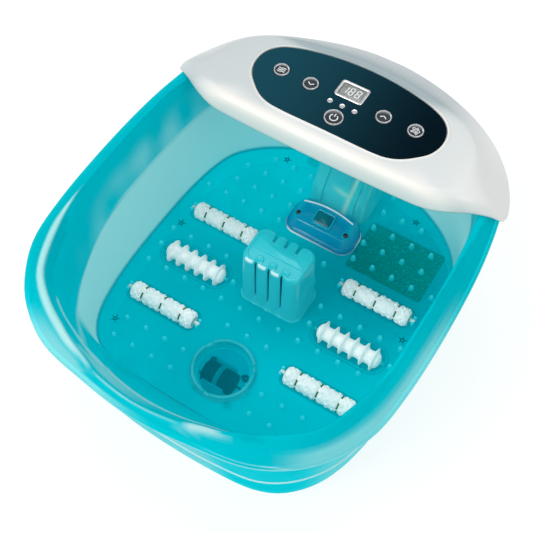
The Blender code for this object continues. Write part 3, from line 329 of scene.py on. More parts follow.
# The nubs' paler tops are a painted highlight.
NUB = clear_teal("_nub", (0.0, 0.46, 0.53), (0.01, 0.52, 0.58), 0.10, 0.55, patch=20, specular=0.9, glow=0.42,
                 masks=(("painted_light", (0.03, 0.62, 0.68)),))
TUB_BACK = clear_teal("_back", (0.0, 0.50, 0.56), (0.0, 0.56, 0.62), 0.35, 0.16, patch=9,
                      ior=NO_SHINE, glow=0.2)
CASING = clear_teal("_casing", (0.0, 0.55, 0.62), (0.0, 0.60, 0.68), 0.26, 0.76, patch=8,
                    ior=NO_SHINE, glow=0.2, masks=(("painted_light", (0.24, 0.66, 0.68)), ("painted_highlight", HIGHLIGHT_PAINT)))
RING = clear_teal("_ring", (0.0, 0.44, 0.50), (0.02, 0.52, 0.58), 0.22, 0.55, patch=20,
                  specular=0.3, glow=0.2, masks=(("painted_light", (0.06, 0.64, 0.70)),))
BLOCK = clear_teal(
    "_block", (0.005, 0.44, 0.51), (0.02, 0.50, 0.57), 0.2, 0.86, patch=30, specular=0.45, glow=0.16,
    masks=(("painted_light", (0.04, 0.57, 0.63)), ("painted_shade", (0.0, 0.07, 0.09)), ("painted_highlight", (0.85, 0.95, 0.95))))
DUCT = clear_teal("_duct", (0.0, 0.52, 0.58), (0.04, 0.60, 0.64), 0.16, 0.55, patch=26,
                  grain=400, specular=0.5, glow=0.22, masks=(("painted_light", (0.50, 0.80, 0.68)),))
HEATER = clear(
    surface("clear_blue_cover", (0.0, 0.27, 0.46), (0.0, 0.32, 0.50), 0.16, patch=30, coat=0.3, glow=0.15,
            masks=(("painted_light", (0.0, 0.45, 0.56)), ("painted_highlight", (0.85, 0.90, 0.88)))), BLUE_TINT, 0.85)
STAR = surface("star_mark", (0.0, 0.13, 0.17), (0.0, 0.17, 0.21), 0.4, patch=60, glow=0.05, ior=NO_SHINE)
CAN = surface("motor_can", (0.0, 0.012, 0.03), (0.004, 0.03, 0.06), 0.5, patch=120, grain=1500, ior=1.1)
BOSS = surface("boss_teal", (0.0, 0.05, 0.08), (0.0, 0.09, 0.12), 0.5, patch=60)
WINDOW = surface("window_tint", (0.0, 0.13, 0.18), (0.0, 0.18, 0.22), 0.15, patch=120, coat=0.5)
HOOD = surface("hood_shell", (0.63, 0.675, 0.68), (0.65, 0.69, 0.69), 0.30, patch=9, grain=450, bump=0.000002,
               uneven=0.25, coat=0.05, masks=(("painted_light", (0.87, 0.85, 0.80)), ("painted_shade", (0.34, 0.42, 0.445))))
# glow on the rollers and axles is an emission: painted light.
ROLLER = surface("roller_white", (0.82, 0.84, 0.83), (0.90, 0.91, 0.89), 0.55, patch=160, grain=1500,
                 specular=0.3, glow=0.14)
PIN = surface("pin_white", (0.74, 0.78, 0.77), (0.84, 0.86, 0.84), 0.4, patch=200, grain=1500)
AXLE = surface("axle_green", (0.01, 0.13, 0.05), (0.02, 0.18, 0.08), 0.5, patch=120, grain=1500, specular=0.1,
               glow=0.15)
SILVER = surface("silver_ring", (0.62, 0.64, 0.66), (0.80, 0.81, 0.82), 0.24, patch=300, grain=2500,
                 bump=0.00001, metallic=0.85)
BUTTON_FACE = surface("button_face", (0.005, 0.010, 0.016), (0.012, 0.022, 0.030), 0.12, patch=120, coat=0.6)
ICON = surface("icon_print", (0.70, 0.74, 0.76), (0.82, 0.84, 0.85), 0.4, patch=500, grain=3000, bump=0.00001)
GLASS = surface("display_window", (0.20, 0.22, 0.22), (0.27, 0.29, 0.28), 0.14, patch=200, coat=0.4)
DIGIT = surface("display_digit", (0.74, 0.78, 0.76), (0.86, 0.88, 0.86), 0.5, patch=600, grain=3000,
                bump=0.00001)
LENS = surface("lamp_lens", (0.34, 0.38, 0.40), (0.50, 0.54, 0.55), 0.15, patch=900, coat=0.5)
STEEL = surface("plated_steel", (0.42, 0.44, 0.46), (0.58, 0.60, 0.62), 0.35, patch=220, grain=1800,
                metallic=1.0)
DARK_STEEL = surface("dark_steel", (0.05, 0.07, 0.08), (0.10, 0.13, 0.14), 0.4, patch=160, grain=1500,
                     metallic=0.7)
BLACK = surface("black_plastic", (0.010, 0.012, 0.014), (0.024, 0.026, 0.030), 0.5, patch=120, grain=1500)
RUBBER = surface("foot_rubber", (0.020, 0.022, 0.024), (0.040, 0.042, 0.044), 0.75, patch=160, grain=1200,
                 bump=0.00012, specular=0.25)
HOSE = surface("hose_silicone", (0.55, 0.64, 0.64), (0.68, 0.74, 0.73), 0.35, patch=90)
CERAMIC = surface("heater_potting", (0.42, 0.38, 0.30), (0.56, 0.51, 0.42), 0.7, patch=200, grain=700,
                  bump=0.0001)
TRAY = surface("tray_plastic", (0.50, 0.54, 0.54), (0.60, 0.63, 0.63), 0.5, patch=40)


def overlay_look():
    """The control film: navy with a faint fleck; painted light and shade make it lighter at the left and
    deeper navy to the right.
    """
    look, tree, shader, place = new_material("overlay_film")
    split = tree.nodes.new("ShaderNodeSeparateXYZ")
    tree.links.new(place, split.inputs["Vector"])
    # Painted light and shade across the film: lighter at the left, darker to the right.
    across = mapped(tree, split.outputs["X"], 0, 1, -0.095, 0.095)
    colour = mixed(tree, across, (0.008, 0.058, 0.085), (0.0, 0.005, 0.010))
    fleck = mapped(tree, noise(tree, place, 1400, 2.0), 0, 0.5, 0.55, 0.85)
    tree.links.new(mixed(tree, fleck, colour, (0.01, 0.04, 0.055)), shader.inputs["Base Color"])
    gloss = mapped(tree, noise(tree, place, 60), 0.30, 0.40)
    tree.links.new(gloss, shader.inputs["Roughness"])
    shader.inputs["Specular IOR Level"].default_value = 0.02
    return look


def board_look():
    """A printed board: solder mask with tracks and pads."""
    look, tree, shader, place = new_material("circuit_board")
    cells = tree.nodes.new("ShaderNodeTexBrick")
    cells.inputs["Scale"].default_value = 160
    cells.inputs["Color1"].default_value = (0.0, 0.10, 0.03, 1)
    cells.inputs["Color2"].default_value = (0.0, 0.34, 0.11, 1)
    cells.inputs["Mortar"].default_value = (0.02, 0.46, 0.20, 1)
    cells.inputs["Mortar Size"].default_value = 0.03
    tree.links.new(place, cells.inputs["Vector"])
    pads = mapped(tree, noise(tree, place, 420, 1.0), 0, 1, 0.62, 0.66)
    tree.links.new(mixed(tree, pads, cells.outputs["Color"], (0.55, 0.70, 0.52)), shader.inputs["Base Color"])
    tree.links.new(mapped(tree, pads, 0.45, 0.3), shader.inputs["Roughness"])
    return look


OVERLAY = overlay_look()
BOARD = board_look()

# ---------------------------------------------------------------- modelling helpers

def piece(name, build, looks, body, replaced=(), crease=32, place=(0, 0, 0)):
    """One visible piece made by a build function, smooth but for its sharp edges, riding on a body."""
    shape = bmesh.new()
    build(shape)
    bmesh.ops.recalc_face_normals(shape, faces=shape.faces)
    mesh = bpy.data.meshes.new(name)
    shape.to_mesh(mesh)
    shape.free()
    for look in looks:
        mesh.materials.append(look)
    mesh.shade_smooth()
    mesh.set_sharp_from_angle(angle=math.radians(crease))
    made = bpy.data.objects.new(name, mesh)
    bpy.context.scene.collection.objects.link(made)
    made.location = place
    bpy.context.view_layer.update()
    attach(made, body)
    if replaced:
        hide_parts(*replaced)
    return made


def paint(made, name, value):
    """A float attribute on the mesh, from a function of each point's place."""
    mesh = made.data
    layer = mesh.attributes.new(name, "FLOAT", "POINT")
    for vertex in mesh.vertices:
        layer.data[vertex.index].value = value(vertex.co)


def smooth(value, low, high):
    """0 below low, 1 above high, and an S-curve between them."""
    share = min(max((value - low) / (high - low), 0.0), 1.0)
    return share * share * (3 - 2 * share)


def fading(value, low, high):
    """1 below low, 0 above high, and an S-curve between them."""
    return 1 - smooth(value, low, high)


def centripetal(around, share):
    """A point on the centripetal Catmull-Rom curve between the middle two of four points."""
    p0, p1, p2, p3 = around
    t0 = 0.0
    t1 = t0 + math.sqrt((p1 - p0).length)
    t2 = t1 + math.sqrt((p2 - p1).length)
    t3 = t2 + math.sqrt((p3 - p2).length)
    t = t1 + (t2 - t1) * share
    a1 = p0.lerp(p1, (t - t0) / (t1 - t0))
    a2 = p1.lerp(p2, (t - t1) / (t2 - t1))
    a3 = p2.lerp(p3, (t - t2) / (t3 - t2))
    b1 = a1.lerp(a2, (t - t0) / (t2 - t0))
    b2 = a2.lerp(a3, (t - t1) / (t3 - t1))
    return b1.lerp(b2, (t - t1) / (t2 - t1))


def outline(half, steps=STEPS, inset=0.0):
    """A closed outline through a half outline and its mirror image, evenly spaced on each half."""
    right = [Vector(point) for point in half]
    left = [Vector((-x, y)) for x, y in half[-2:0:-1]]
    corners = right + left
    count = len(corners)
    fine = []
    for i in range(len(half) - 1):
        around = [corners[(i + k) % count] for k in (-1, 0, 1, 2)]
        fine += [centripetal(around, step / 12) for step in range(12)]
    fine.append(right[-1])
    run = [0.0]
    for a, b in zip(fine, fine[1:]):
        run.append(run[-1] + (b - a).length)
    points = []
    k = 0
    for i in range(steps + 1):
        target = run[-1] * i / steps
        while k < len(run) - 2 and run[k + 1] < target:
            k += 1
        share = (target - run[k]) / (run[k + 1] - run[k])
        points.append(fine[k].lerp(fine[k + 1], share))
    points += [Vector((-p.x, p.y)) for p in points[-2:0:-1]]
    return inset_points(points, inset) if inset else points


def inset_points(points, distance):
    """Move each point of an anticlockwise outline inwards."""
    moved = []
    for i, point in enumerate(points):
        along = (points[(i + 1) % len(points)] - points[i - 1]).normalized()
        moved.append(point + distance * Vector((-along.y, along.x)))
    return moved


def raised(points, height):
    """An outline in space, at one height or at a height that a function gives for each point."""
    return [Vector((p.x, p.y, height(p) if callable(height) else height)) for p in points]


def between(first, second, share):
    """An outline part of the way from one to another."""
    return [a.lerp(b, share) for a, b in zip(first, second)]


def rounded_path(corners, radii, arc=5):
    """Rings through several rings, with each one between the ends rounded off as a corner."""
    rings = [corners[0]]
    for i in range(1, len(corners) - 1):
        before, ring, after = corners[i - 1], corners[i], corners[i + 1]
        ends = []
        for a, b, c in zip(before, ring, after):
            reach = min(radii[i - 1], 0.46 * (b - a).length, 0.46 * (c - b).length)
            ends.append((b + (a - b).normalized() * reach, b, b + (c - b).normalized() * reach))
        for step in range(arc + 1):
            t = step / arc
            rings.append([a * (1 - t) ** 2 + b * 2 * t * (1 - t) + c * t * t for a, b, c in ends])
    rings.append(corners[-1])
    return rings


def weld(shape):
    """Join points that lie on each other."""
    bmesh.ops.remove_doubles(shape, verts=shape.verts, dist=WELD)


def finer(rings, step):
    """More rings wherever two neighbours lie far apart, so that a painted mask keeps its edges."""
    filled = [rings[0]]
    for lower, upper in zip(rings, rings[1:]):
        parts = max(1, math.ceil(max((b - a).length for a, b in zip(lower, upper)) / step))
        filled += [between(lower, upper, k / parts) for k in range(1, parts)]
        filled.append(upper)
    return filled


def add_rings(shape, rings):
    """Vertices for each ring's points."""
    return [[shape.verts.new(point) for point in ring] for ring in rings]


def bridge(shape, made, look=0):
    """Faces between rings of vertices."""
    for lower, upper in zip(made, made[1:]):
        count = len(lower)
        for i in range(count):
            k = (i + 1) % count
            face = shape.faces.new((lower[i], lower[k], upper[k], upper[i]))
            face.material_index = look


def loft(shape, rings, start_cap=False, end_cap=False, look=0):
    """A skin through rings, closed at an end if asked."""
    made = add_rings(shape, rings)
    bridge(shape, made, look)
    if start_cap:
        shape.faces.new(list(reversed(made[0]))).material_index = look
    if end_cap:
        shape.faces.new(made[-1]).material_index = look
    return made


def loop_edges(shape, ring):
    """The edges round a ring, made where they don't exist yet."""
    found = []
    for a, b in zip(ring, ring[1:] + ring[:1]):
        found.append(shape.edges.get((a, b)) or shape.edges.new((a, b)))
    return found


def fill_between(shape, outer, holes, look=0):
    """A flat face inside one ring, left open at the holes."""
    edges = loop_edges(shape, outer)
    for hole in holes:
        edges += loop_edges(shape, hole)
    filled = bmesh.ops.triangle_fill(shape, edges=edges, use_beauty=True, use_dissolve=False)
    for face in filled["geom"]:
        if isinstance(face, bmesh.types.BMFace):
            face.material_index = look


def circle(x, y, radius, sides=48):
    """An anticlockwise circle."""
    return [
        Vector((x + radius * math.cos(math.tau * i / sides), y + radius * math.sin(math.tau * i / sides)))
        for i in range(sides)
    ]


def rounded_rectangle(half_x, low_y, high_y, radius, arc=8, centre_x=0.0):
    """An anticlockwise rectangle with round corners."""
    points = []
    corners = (
        (half_x, high_y, 0), (-half_x, high_y, 1), (-half_x, low_y, 2), (half_x, low_y, 3),
    )
    for x, y, quarter in corners:
        centre = Vector((centre_x + x - math.copysign(radius, x), y - radius if y == high_y else y + radius))
        for i in range(arc + 1):
            angle = math.pi / 2 * (quarter + i / arc)
            points.append(centre + radius * Vector((math.cos(angle), math.sin(angle))))
    return points


def turned(shape, centre, profile, sides=32, axis="X", looks=None):
    """A solid of revolution. The profile is (distance along the axis, radius), and looks is each band's
    material."""
    rings = []
    for along, radius in profile:
        ring = []
        for i in range(1 if radius == 0 else sides):
            turn = math.tau * i / sides
            u = radius * math.cos(turn)
            v = radius * math.sin(turn)
            offset = (along, u, v) if axis == "X" else (u, v, along)
            ring.append(shape.verts.new(Vector(centre) + Vector(offset)))
        rings.append(ring)
    for band, (first, second) in enumerate(zip(rings, rings[1:])):
        for i in range(sides):
            k = (i + 1) % sides
            if len(first) == 1 and len(second) == 1:
                continue
            if len(first) == 1:
                face = shape.faces.new((first[0], second[k], second[i]))
            elif len(second) == 1:
                face = shape.faces.new((first[i], first[k], second[0]))
            else:
                face = shape.faces.new((first[i], first[k], second[k], second[i]))
            if looks:
                face.material_index = looks[band]
    return rings


def block(shape, low, high, bevel=0.0, look=0, turn=None):
    """A box between two corners, with rounded edges if asked."""
    low = Vector(low)
    high = Vector(high)
    size = high - low
    place = Matrix.Translation((low + high) / 2)
    if turn:
        place = place @ turn
    before = set(shape.faces)
    made = bmesh.ops.create_cube(shape, size=1, matrix=place @ Matrix.Diagonal((*size, 1)))["verts"]
    if bevel:
        edges = list({edge for vertex in made for edge in vertex.link_edges})
        bmesh.ops.bevel(shape, geom=edges, offset=bevel, segments=3, affect="EDGES", profile=0.5)
    for face in shape.faces:
        if face not in before:
            face.material_index = look


def ribbon(shape, points, width, low, high, look=0, closed=False):
    """A flat line of even width along 2D points, standing between two heights."""
    count = len(points)
    left = []
    right = []
    for i, point in enumerate(points):
        if closed:
            along = points[(i + 1) % count] - points[i - 1]
        else:
            along = points[min(i + 1, count - 1)] - points[max(i - 1, 0)]
        across = Vector((-along.y, along.x)).normalized() * width / 2
        left.append(point + across)
        right.append(point - across)
    rows = []
    for a, b in zip(left, right):
        rows.append([shape.verts.new((*p, z)) for p, z in ((a, low), (a, high), (b, high), (b, low))])
    pairs = list(zip(rows, rows[1:]))
    if closed:
        pairs.append((rows[-1], rows[0]))
    for first, second in pairs:
        for i in range(4):
            k = (i + 1) % 4
            shape.faces.new((first[i], first[k], second[k], second[i])).material_index = look
    if not closed:
        shape.faces.new(rows[0]).material_index = look
        shape.faces.new(list(reversed(rows[-1]))).material_index = look


def solidify(made, thickness, offset, back_look=0):
    """Give an open surface a wall; its far side can use another material."""
    wall = made.modifiers.new("wall", "SOLIDIFY")
    wall.thickness = thickness
    wall.offset = offset
    wall.use_even_offset = True
    wall.material_offset = back_look


# ---------------------------------------------------------------- tub

def roller_places():
    """Each knobbed roller's centre, front left first."""
    return [(side * ROLLER_X, y) for y in reversed(KNOB_ROLLER_Y) for side in (-1, 1)]


def spindle_places():
    """Each spindle's centre, left first."""
    return [(side * ROLLER_X, SPINDLE_Y) for side in (-1, 1)]


def near(x, y, places, half_x, half_y):
    """Whether a point is in a box round one of the places."""
    return any(abs(x - px) < half_x and abs(y - py) < half_y for px, py in places)


def inside_outline(x, y, points):
    """Whether a point is inside a closed outline."""
    inside = False
    for a, b in zip(points, points[1:] + points[:1]):
        if (a.y > y) != (b.y > y) and x < a.x + (y - a.y) * (b.x - a.x) / (b.y - a.y):
            inside = not inside
    return inside


def nub_places():
    """The floor's nubs: a square grid, left out at everything that stands on the floor or in it."""
    edge = outline(FLOOR_OUTLINE, 26, inset=0.010)
    places = []
    for row in range(NUB_ROWS):
        for column in range(-NUB_COLUMNS, NUB_COLUMNS + 1):
            x = column * NUB_PITCH
            y = NUB_FIRST_Y + row * NUB_PITCH
            blocked = (
                not inside_outline(x, y, edge)
                or near(x, y, roller_places(), 0.047, 0.017)
                or near(x, y, spindle_places(), 0.043, 0.019)
                or near(x, y, [(0, BLOCK_CENTRE_Y)], 0.040, 0.0285)
                or math.hypot(x, y - WELL_Y) < WELL_RING_RADIUS + 0.004
                or near(x, y, [(0, 0.130)], HEATER_HALF_WIDTH + 0.004, 0.058)
            )
            if not blocked:
                places.append((x, y))
    return places


def crest_height(point):
    """The crest drops a little where the hood covers it."""
    return CREST_Z + (CREST_BACK_Z - CREST_Z) * smooth(point.y, 0.054, 0.082)


def flange_height(point):
    """The rim's outer edge rises to the crest in the middle of the front."""
    if point.y > -0.156:
        return FLANGE_Z
    return FLANGE_FRONT_Z + (FLANGE_Z - FLANGE_FRONT_Z) * smooth(abs(point.x), 0.038, 0.071)


def crease_height(y):
    """The line inside the wall where its upper part starts to lean out."""
    return 0.108 + 0.028 * smooth(y, -0.14, -0.02) + 0.076 * smooth(-y, 0.13, 0.20)


def pocket_rings(shape, centre, radius, length, end):
    """A trough in the floor under a roller, from its rim down."""
    start = math.asin((ROLLER_Z - FLOOR_Z) / radius)
    rings = []
    steps = 7
    for i in range(steps + 1):
        angle = start + (math.radians(84) - start) * i / steps
        half_width = radius * math.cos(angle)
        half_length = length / 2 - end * (1 - math.cos(angle))
        points = rounded_rectangle(half_length, centre[1] - half_width, centre[1] + half_width,
                                   min(half_width * 0.98, end), 5, centre[0])
        rings.append(raised(points, ROLLER_Z - radius * math.sin(angle)))
    lip = [point + Vector((0, 0, 0.0006)) for point in widened(rings[0], centre, 0.0006)]
    outer = [Vector((p.x, p.y, FLOOR_Z)) for p in widened(rings[0], centre, 0.0016)]
    made = add_rings(shape, [outer, lip] + rings)
    bridge(shape, made)
    shape.faces.new(made[-1])
    return made[0]


def widened(ring, centre, distance):
    """A ring moved outwards from its centre line, as a stadium is."""
    half = max(p.x for p in ring) - centre[0] - (max(p.y for p in ring) - centre[1])
    moved = []
    for point in ring:
        spine = Vector((centre[0] + min(max(point.x - centre[0], -half), half), centre[1], point.z))
        moved.append(point + (point - spine).normalized() * distance)
    return moved


def build_tub(shape):
    """The floor with its pockets, well and duct hole, the walls, and the rim down to its skirt."""
    floor = outline(FLOOR_OUTLINE)
    crest = outline(CREST_OUTLINE)
    flange = outline(FLANGE_OUTLINE)
    skirt = inset_points(flange, -0.0004)
    foot = raised(floor, FLOOR_Z)
    top = raised(crest, crest_height)
    crease = []
    for a, b in zip(foot, top):
        height = crease_height(a.y)
        share = (height - FLOOR_Z) / (b.z - FLOOR_Z)
        point = a.lerp(b, share * 0.72)
        crease.append(Vector((point.x, point.y, height)))
    corners = (
        raised(inset_points(floor, 0.009), FLOOR_Z), foot, crease, top,
        raised(flange, flange_height), raised(flange, SKIRT_Z + 0.0016),
        raised(skirt, SKIRT_Z + 0.0013), raised(skirt, SKIRT_Z),
    )
    rings = finer(rounded_path(corners, (0.007, 0.012, 0.0055, 0.0040, 0.0002, 0.0002), 6), 0.004)
    made = add_rings(shape, rings)
    bridge(shape, made)
    holes = []
    for place in roller_places():
        holes.append(pocket_rings(shape, place, *ROLLER_POCKET, 0.0070))
    for x, y in spindle_places():
        inner = pocket_rings(shape, (x, y), *SPINDLE_POCKET, 0.0120)
        stadium = [vertex.co.copy() for vertex in inner]
        ridge = []
        for distance, height in ((0.0010, 0), (0.0018, 0.0006), (0.0028, 0)):
            ring = widened(stadium, (x, y), distance)
            ridge.append([Vector((p.x, p.y, FLOOR_Z + height)) for p in ring])
        outer = add_rings(shape, ridge)
        bridge(shape, [outer[2], outer[1], outer[0], inner])
        holes.append(outer[2])
    well = circle(0, WELL_Y, WELL_RADIUS, 64)
    sunk = add_rings(shape, [
        raised(well, FLOOR_Z), raised(inset_points(well, 0.0005), FLOOR_Z - 0.0006),
        raised(inset_points(well, 0.0006), FLOOR_Z - WELL_DEPTH + 0.001),
        raised(inset_points(well, 0.0020), FLOOR_Z - WELL_DEPTH),
    ])
    bridge(shape, sunk)
    shape.faces.new(sunk[-1]).material_index = 2
    holes.append(sunk[0])
    duct = circle(0, DUCT_HOLE_Y, DUCT_HOLE_RADIUS, 32)
    tube = add_rings(shape, [raised(duct, FLOOR_Z), raised(duct, FLOOR_Z - 0.0035)])
    bridge(shape, tube)
    holes.append(tube[0])
    fill_between(shape, made[0], holes)


def build_floor_details(shape):
    """Nubs, clip posts, and the screw bosses under the floor with their gussets."""
    for x, y in nub_places():
        profile = [(FLOOR_Z - 0.0005, NUB_RADIUS + 0.0006), (FLOOR_Z + 0.0004, NUB_RADIUS)]
        for i in range(5):
            angle = math.pi / 2 * i / 4
            height = FLOOR_Z + 0.0018 + (NUB_HEIGHT - 0.0018) * math.sin(angle)
            profile.append((height, (NUB_RADIUS - 0.0003) * math.cos(angle) if i < 4 else 0))
        turned(shape, (x, y, 0), profile, 14, "Z")
    for x, y in roller_places():
        for side in (-1, 1):
            post = x + side * (PIN_REACH - 0.0012)
            for near_y in (-0.0046, 0.0024):
                block(shape, (post - 0.0015, y + near_y, FLOOR_Z - 0.0005),
                      (post + 0.0015, y + near_y + 0.0022, ROLLER_Z + 0.0034), 0.0005)
            block(shape, (post - 0.0015, y - 0.0046, FLOOR_Z - 0.0008),
                  (post + 0.0015, y + 0.0046, FLOOR_Z - 0.0003))
    for x, y in BOSS_PLACES:
        for side in (-1, 1):
            stem = ((0.0085, 0.0014), (0.0085, 0.0030), (FLOOR_Z - 0.0021, 0.0030))
            mark = ((FLOOR_Z - 0.0003, 0.0012), (FLOOR_Z + 0.0003, 0.0013), (FLOOR_Z + 0.0003, 0.0022),
                    (FLOOR_Z - 0.0003, 0.0023))
            turned(shape, (side * x, y, 0), stem, 24, "Z")
            turned(shape, (side * x, y, 0), mark, 24, "Z", looks=(1, 1, 1))
            for i in range(5):
                turn = Matrix.Rotation(math.tau * (i + 0.3) / 5, 4, "Z")
                for reach, half, low, high, look in ((0.0034, 0.0014, FLOOR_Z - 0.0003, FLOOR_Z + 0.0002, 1),
                                                     (0.0040, 0.0018, 0.018, FLOOR_Z - 0.0021, 0)):
                    centre = Vector((side * x, y, 0)) + turn @ Vector((reach, 0, 0))
                    first = centre + Vector((-half, -0.0003, low))
                    last = centre + Vector((half, 0.0003, high))
                    block(shape, first, last, look=look, turn=turn)


def make_tub():
    """The tub, and the details that stand on its floor or under it."""
    tub = piece("basin_tub", build_tub, (TUB, TUB_BACK, WELL, TUB_BACK), "basin", ("inner_basin",),
                40)
    solidify(tub, WALL, -1, 1)
    # Painted light, painted shade and painted highlight lines on the tub, from the functions below.
    paint(tub, "painted_light", tub_painted_light)
    paint(tub, "painted_shade", tub_painted_shade)
    paint(tub, "painted_highlight", tub_painted_highlights)
    details = piece("floor_nubs_and_posts", build_floor_details, (NUB, STAR), "basin", ())
    # Painted highlight: the nubs are painted paler towards their tops.
    paint(details, "painted_light", lambda place: 0.9 * smooth(place.z, FLOOR_Z + 0.001, FLOOR_Z + 0.004))


def on_wall(place):
    """1 on the inside of the walls, above the curve at their foot."""
    reach = math.hypot(place.x / 0.150, (place.y - 0.02) / 0.168)
    return smooth(place.z, FLOOR_Z + 0.0005, FLOOR_Z + 0.005) * (reach > 0.8) * (place.z < 0.19)


def outer_slope(place):
    """1 on the rim outside its crest."""
    crest_x = 0.1565 - 0.9 * max(0.0, -0.085 - place.y) ** 1.2
    outside = abs(place.x) > crest_x or place.y < -0.190
    return float(outside and place.z > 0.177)


def crest_band(place, half_width):
    """1 along the crest, fading out to each side."""
    return fading(abs(place.z - crest_height(place)), half_width * 0.3, half_width)


def cloud(place, scale):
    """Soft uneven patches, from 0 to 1."""
    first = math.sin(scale * (place.y + 0.4 * place.z))
    second = math.sin(scale * (0.8 * place.z - 0.5 * place.y) + 1.3)
    third = math.sin(2.1 * scale * place.y)
    return min(1.0, max(0.0, 0.45 + 0.5 * first * second + 0.25 * third))


def tub_painted_light(place):
    """Painted light: the wall is painted paler below its crease, a painted reflection, with paler clouded
    patches just above it; the rim carries painted highlights along its left crest, on its right slope and
    round its front corners.
    """
    above = place.z - crease_height(place.y)
    low = 0.92 * fading(above, -0.001, 0.001) * fading(-place.y, 0.135, 0.160)
    high = 0.42 * cloud(place, 75) * fading(above, 0.020, 0.050) * smooth(place.y, -0.12, -0.03)
    slope = outer_slope(place)
    drop = crest_height(place) - place.z
    right = 0.36 * slope * smooth(drop, 0.0095, 0.0130) * smooth(place.x, 0.110, 0.140)
    right *= fading(place.y, -0.06, 0.02)
    width = 0.0012 + 0.0050 * smooth(-place.y, 0.04, 0.15)
    left = fading(drop, width * 0.6, width) * (place.z > 0.186) * (place.x < -0.05)
    left *= fading(place.x, -0.07, -0.05)
    corner = 0.42 * slope * smooth(drop, 0.004, 0.010) * smooth(-place.y, 0.180, 0.200)
    corner *= fading(place.x, -0.04, 0.02)
    return min(1.0, max(on_wall(place) * max(low, high), right, 0.8 * left, corner))


def tub_painted_highlights(place):
    """Painted highlights in thin lines: the crease, the crest, the rim's lower edge, and the bend at the
    front.
    """
    crease = 0.5 * on_wall(place) * fading(abs(place.z - crease_height(place.y)), 0.0005, 0.0028)
    crease *= place.z < 0.183
    front = smooth(-place.y, 0.175, 0.190) * smooth(place.x, -0.085, -0.060) * fading(place.x, 0.045, 0.060)
    crest = crest_band(place, 0.0016) * (0.3 * (place.x < 0) + 0.9 * front)
    in_front = place.z > 0.170 and (place.y < -0.16 or place.x > 0.14)
    edge = 0.55 * in_front * fading(place.z, SKIRT_Z + 0.0012, SKIRT_Z + 0.0018)
    bend = smooth(place.x, 0.040, 0.050) * fading(place.x, 0.060, 0.085) * (place.y < -0.196)
    bend *= 0.75 * fading(crest_height(place) - place.z, 0.002, 0.008)
    corner = smooth(place.x, -0.100, -0.070) * fading(place.x, -0.050, -0.040) * (place.y < -0.185)
    corner *= crest_band(place, 0.004)
    return min(1.0, max(crease, crest, edge, bend, 0.8 * corner))


def tub_painted_shade(place):
    """Painted shade in a deeper teal: on the rim's outer slope, more on the right side, in a line just inside
    its crest, and round the pockets in the floor.
    """
    slope = outer_slope(place)
    side = smooth(abs(place.x), 0.10, 0.15) * (0.30 + 0.25 * (place.x > 0) * smooth(place.y, -0.10, 0.03))
    inside = (1 - slope) * fading(abs(crest_height(place) - 0.0030 - place.z), 0.0006, 0.0018)
    inside *= place.x < 0.10
    pocket = 0.9 * (FLOOR_Z + 0.0003 < place.z < FLOOR_Z + 0.0024) * (1 - on_wall(place))
    return max(slope * side, 0.35 * inside, pocket)


# ---------------------------------------------------------------- casing

def build_casing(shape):
    """The lower shell, with its stepped ridge."""
    base = outline(BASE_OUTLINE)
    ridge = outline(RIDGE_OUTLINE)
    top = outline(FLANGE_OUTLINE, inset=WALL + 0.0012)
    stepped = inset_points(ridge, RIDGE_STEP)
    corners = (
        raised(inset_points(base, 0.004), BASE_Z), raised(base, BASE_Z),
        raised(between(base, ridge, 0.55), 0.024),
        raised(ridge, RIDGE_Z), raised(stepped, RIDGE_Z + 0.0004),
        raised(between(stepped, top, 0.5), 0.118), raised(top, CASING_TOP_Z),
    )
    loft(shape, finer(rounded_path(corners, (0.006, 0.012, 0.0009, 0.0009, 0.03), 5), 0.005))


def make_casing():
    """The lower shell, with a painted highlight line along its ridge and a painted sheen along its sides."""
    casing = piece("casing_shell", build_casing, (CASING, TUB_BACK), "basin", ("outer_casing",),
                   50)
    solidify(casing, WALL, -1, 1)
    paint(casing, "painted_light", casing_sheen)
    paint(casing, "painted_highlight", lambda place: 0.8 * (abs(place.z - RIDGE_Z - 0.0002) < 0.0006))


def casing_sheen(place):
    """Painted sheen: the casing is painted paler along its sides than round its front right corner, in uneven
    patches.
    """
    away = smooth(math.hypot(place.x - 0.095, (place.y + 0.175) * 0.8), 0.030, 0.062)
    return away * (0.50 + 0.25 * cloud(place, 60))


# ---------------------------------------------------------------- hood

def hood_edge_height(point):
    """The hood's lower edge: level at the front, down over the rim at the sides, low round the back."""
    if point.y > 0.0989:
        return HOOD_EDGE_Z
    share = min(max((abs(point.x) - 0.142) / 0.0285, 0.0), 1.0)
    return CREST_Z - (CREST_Z - HOOD_EDGE_Z) * share ** 1.6


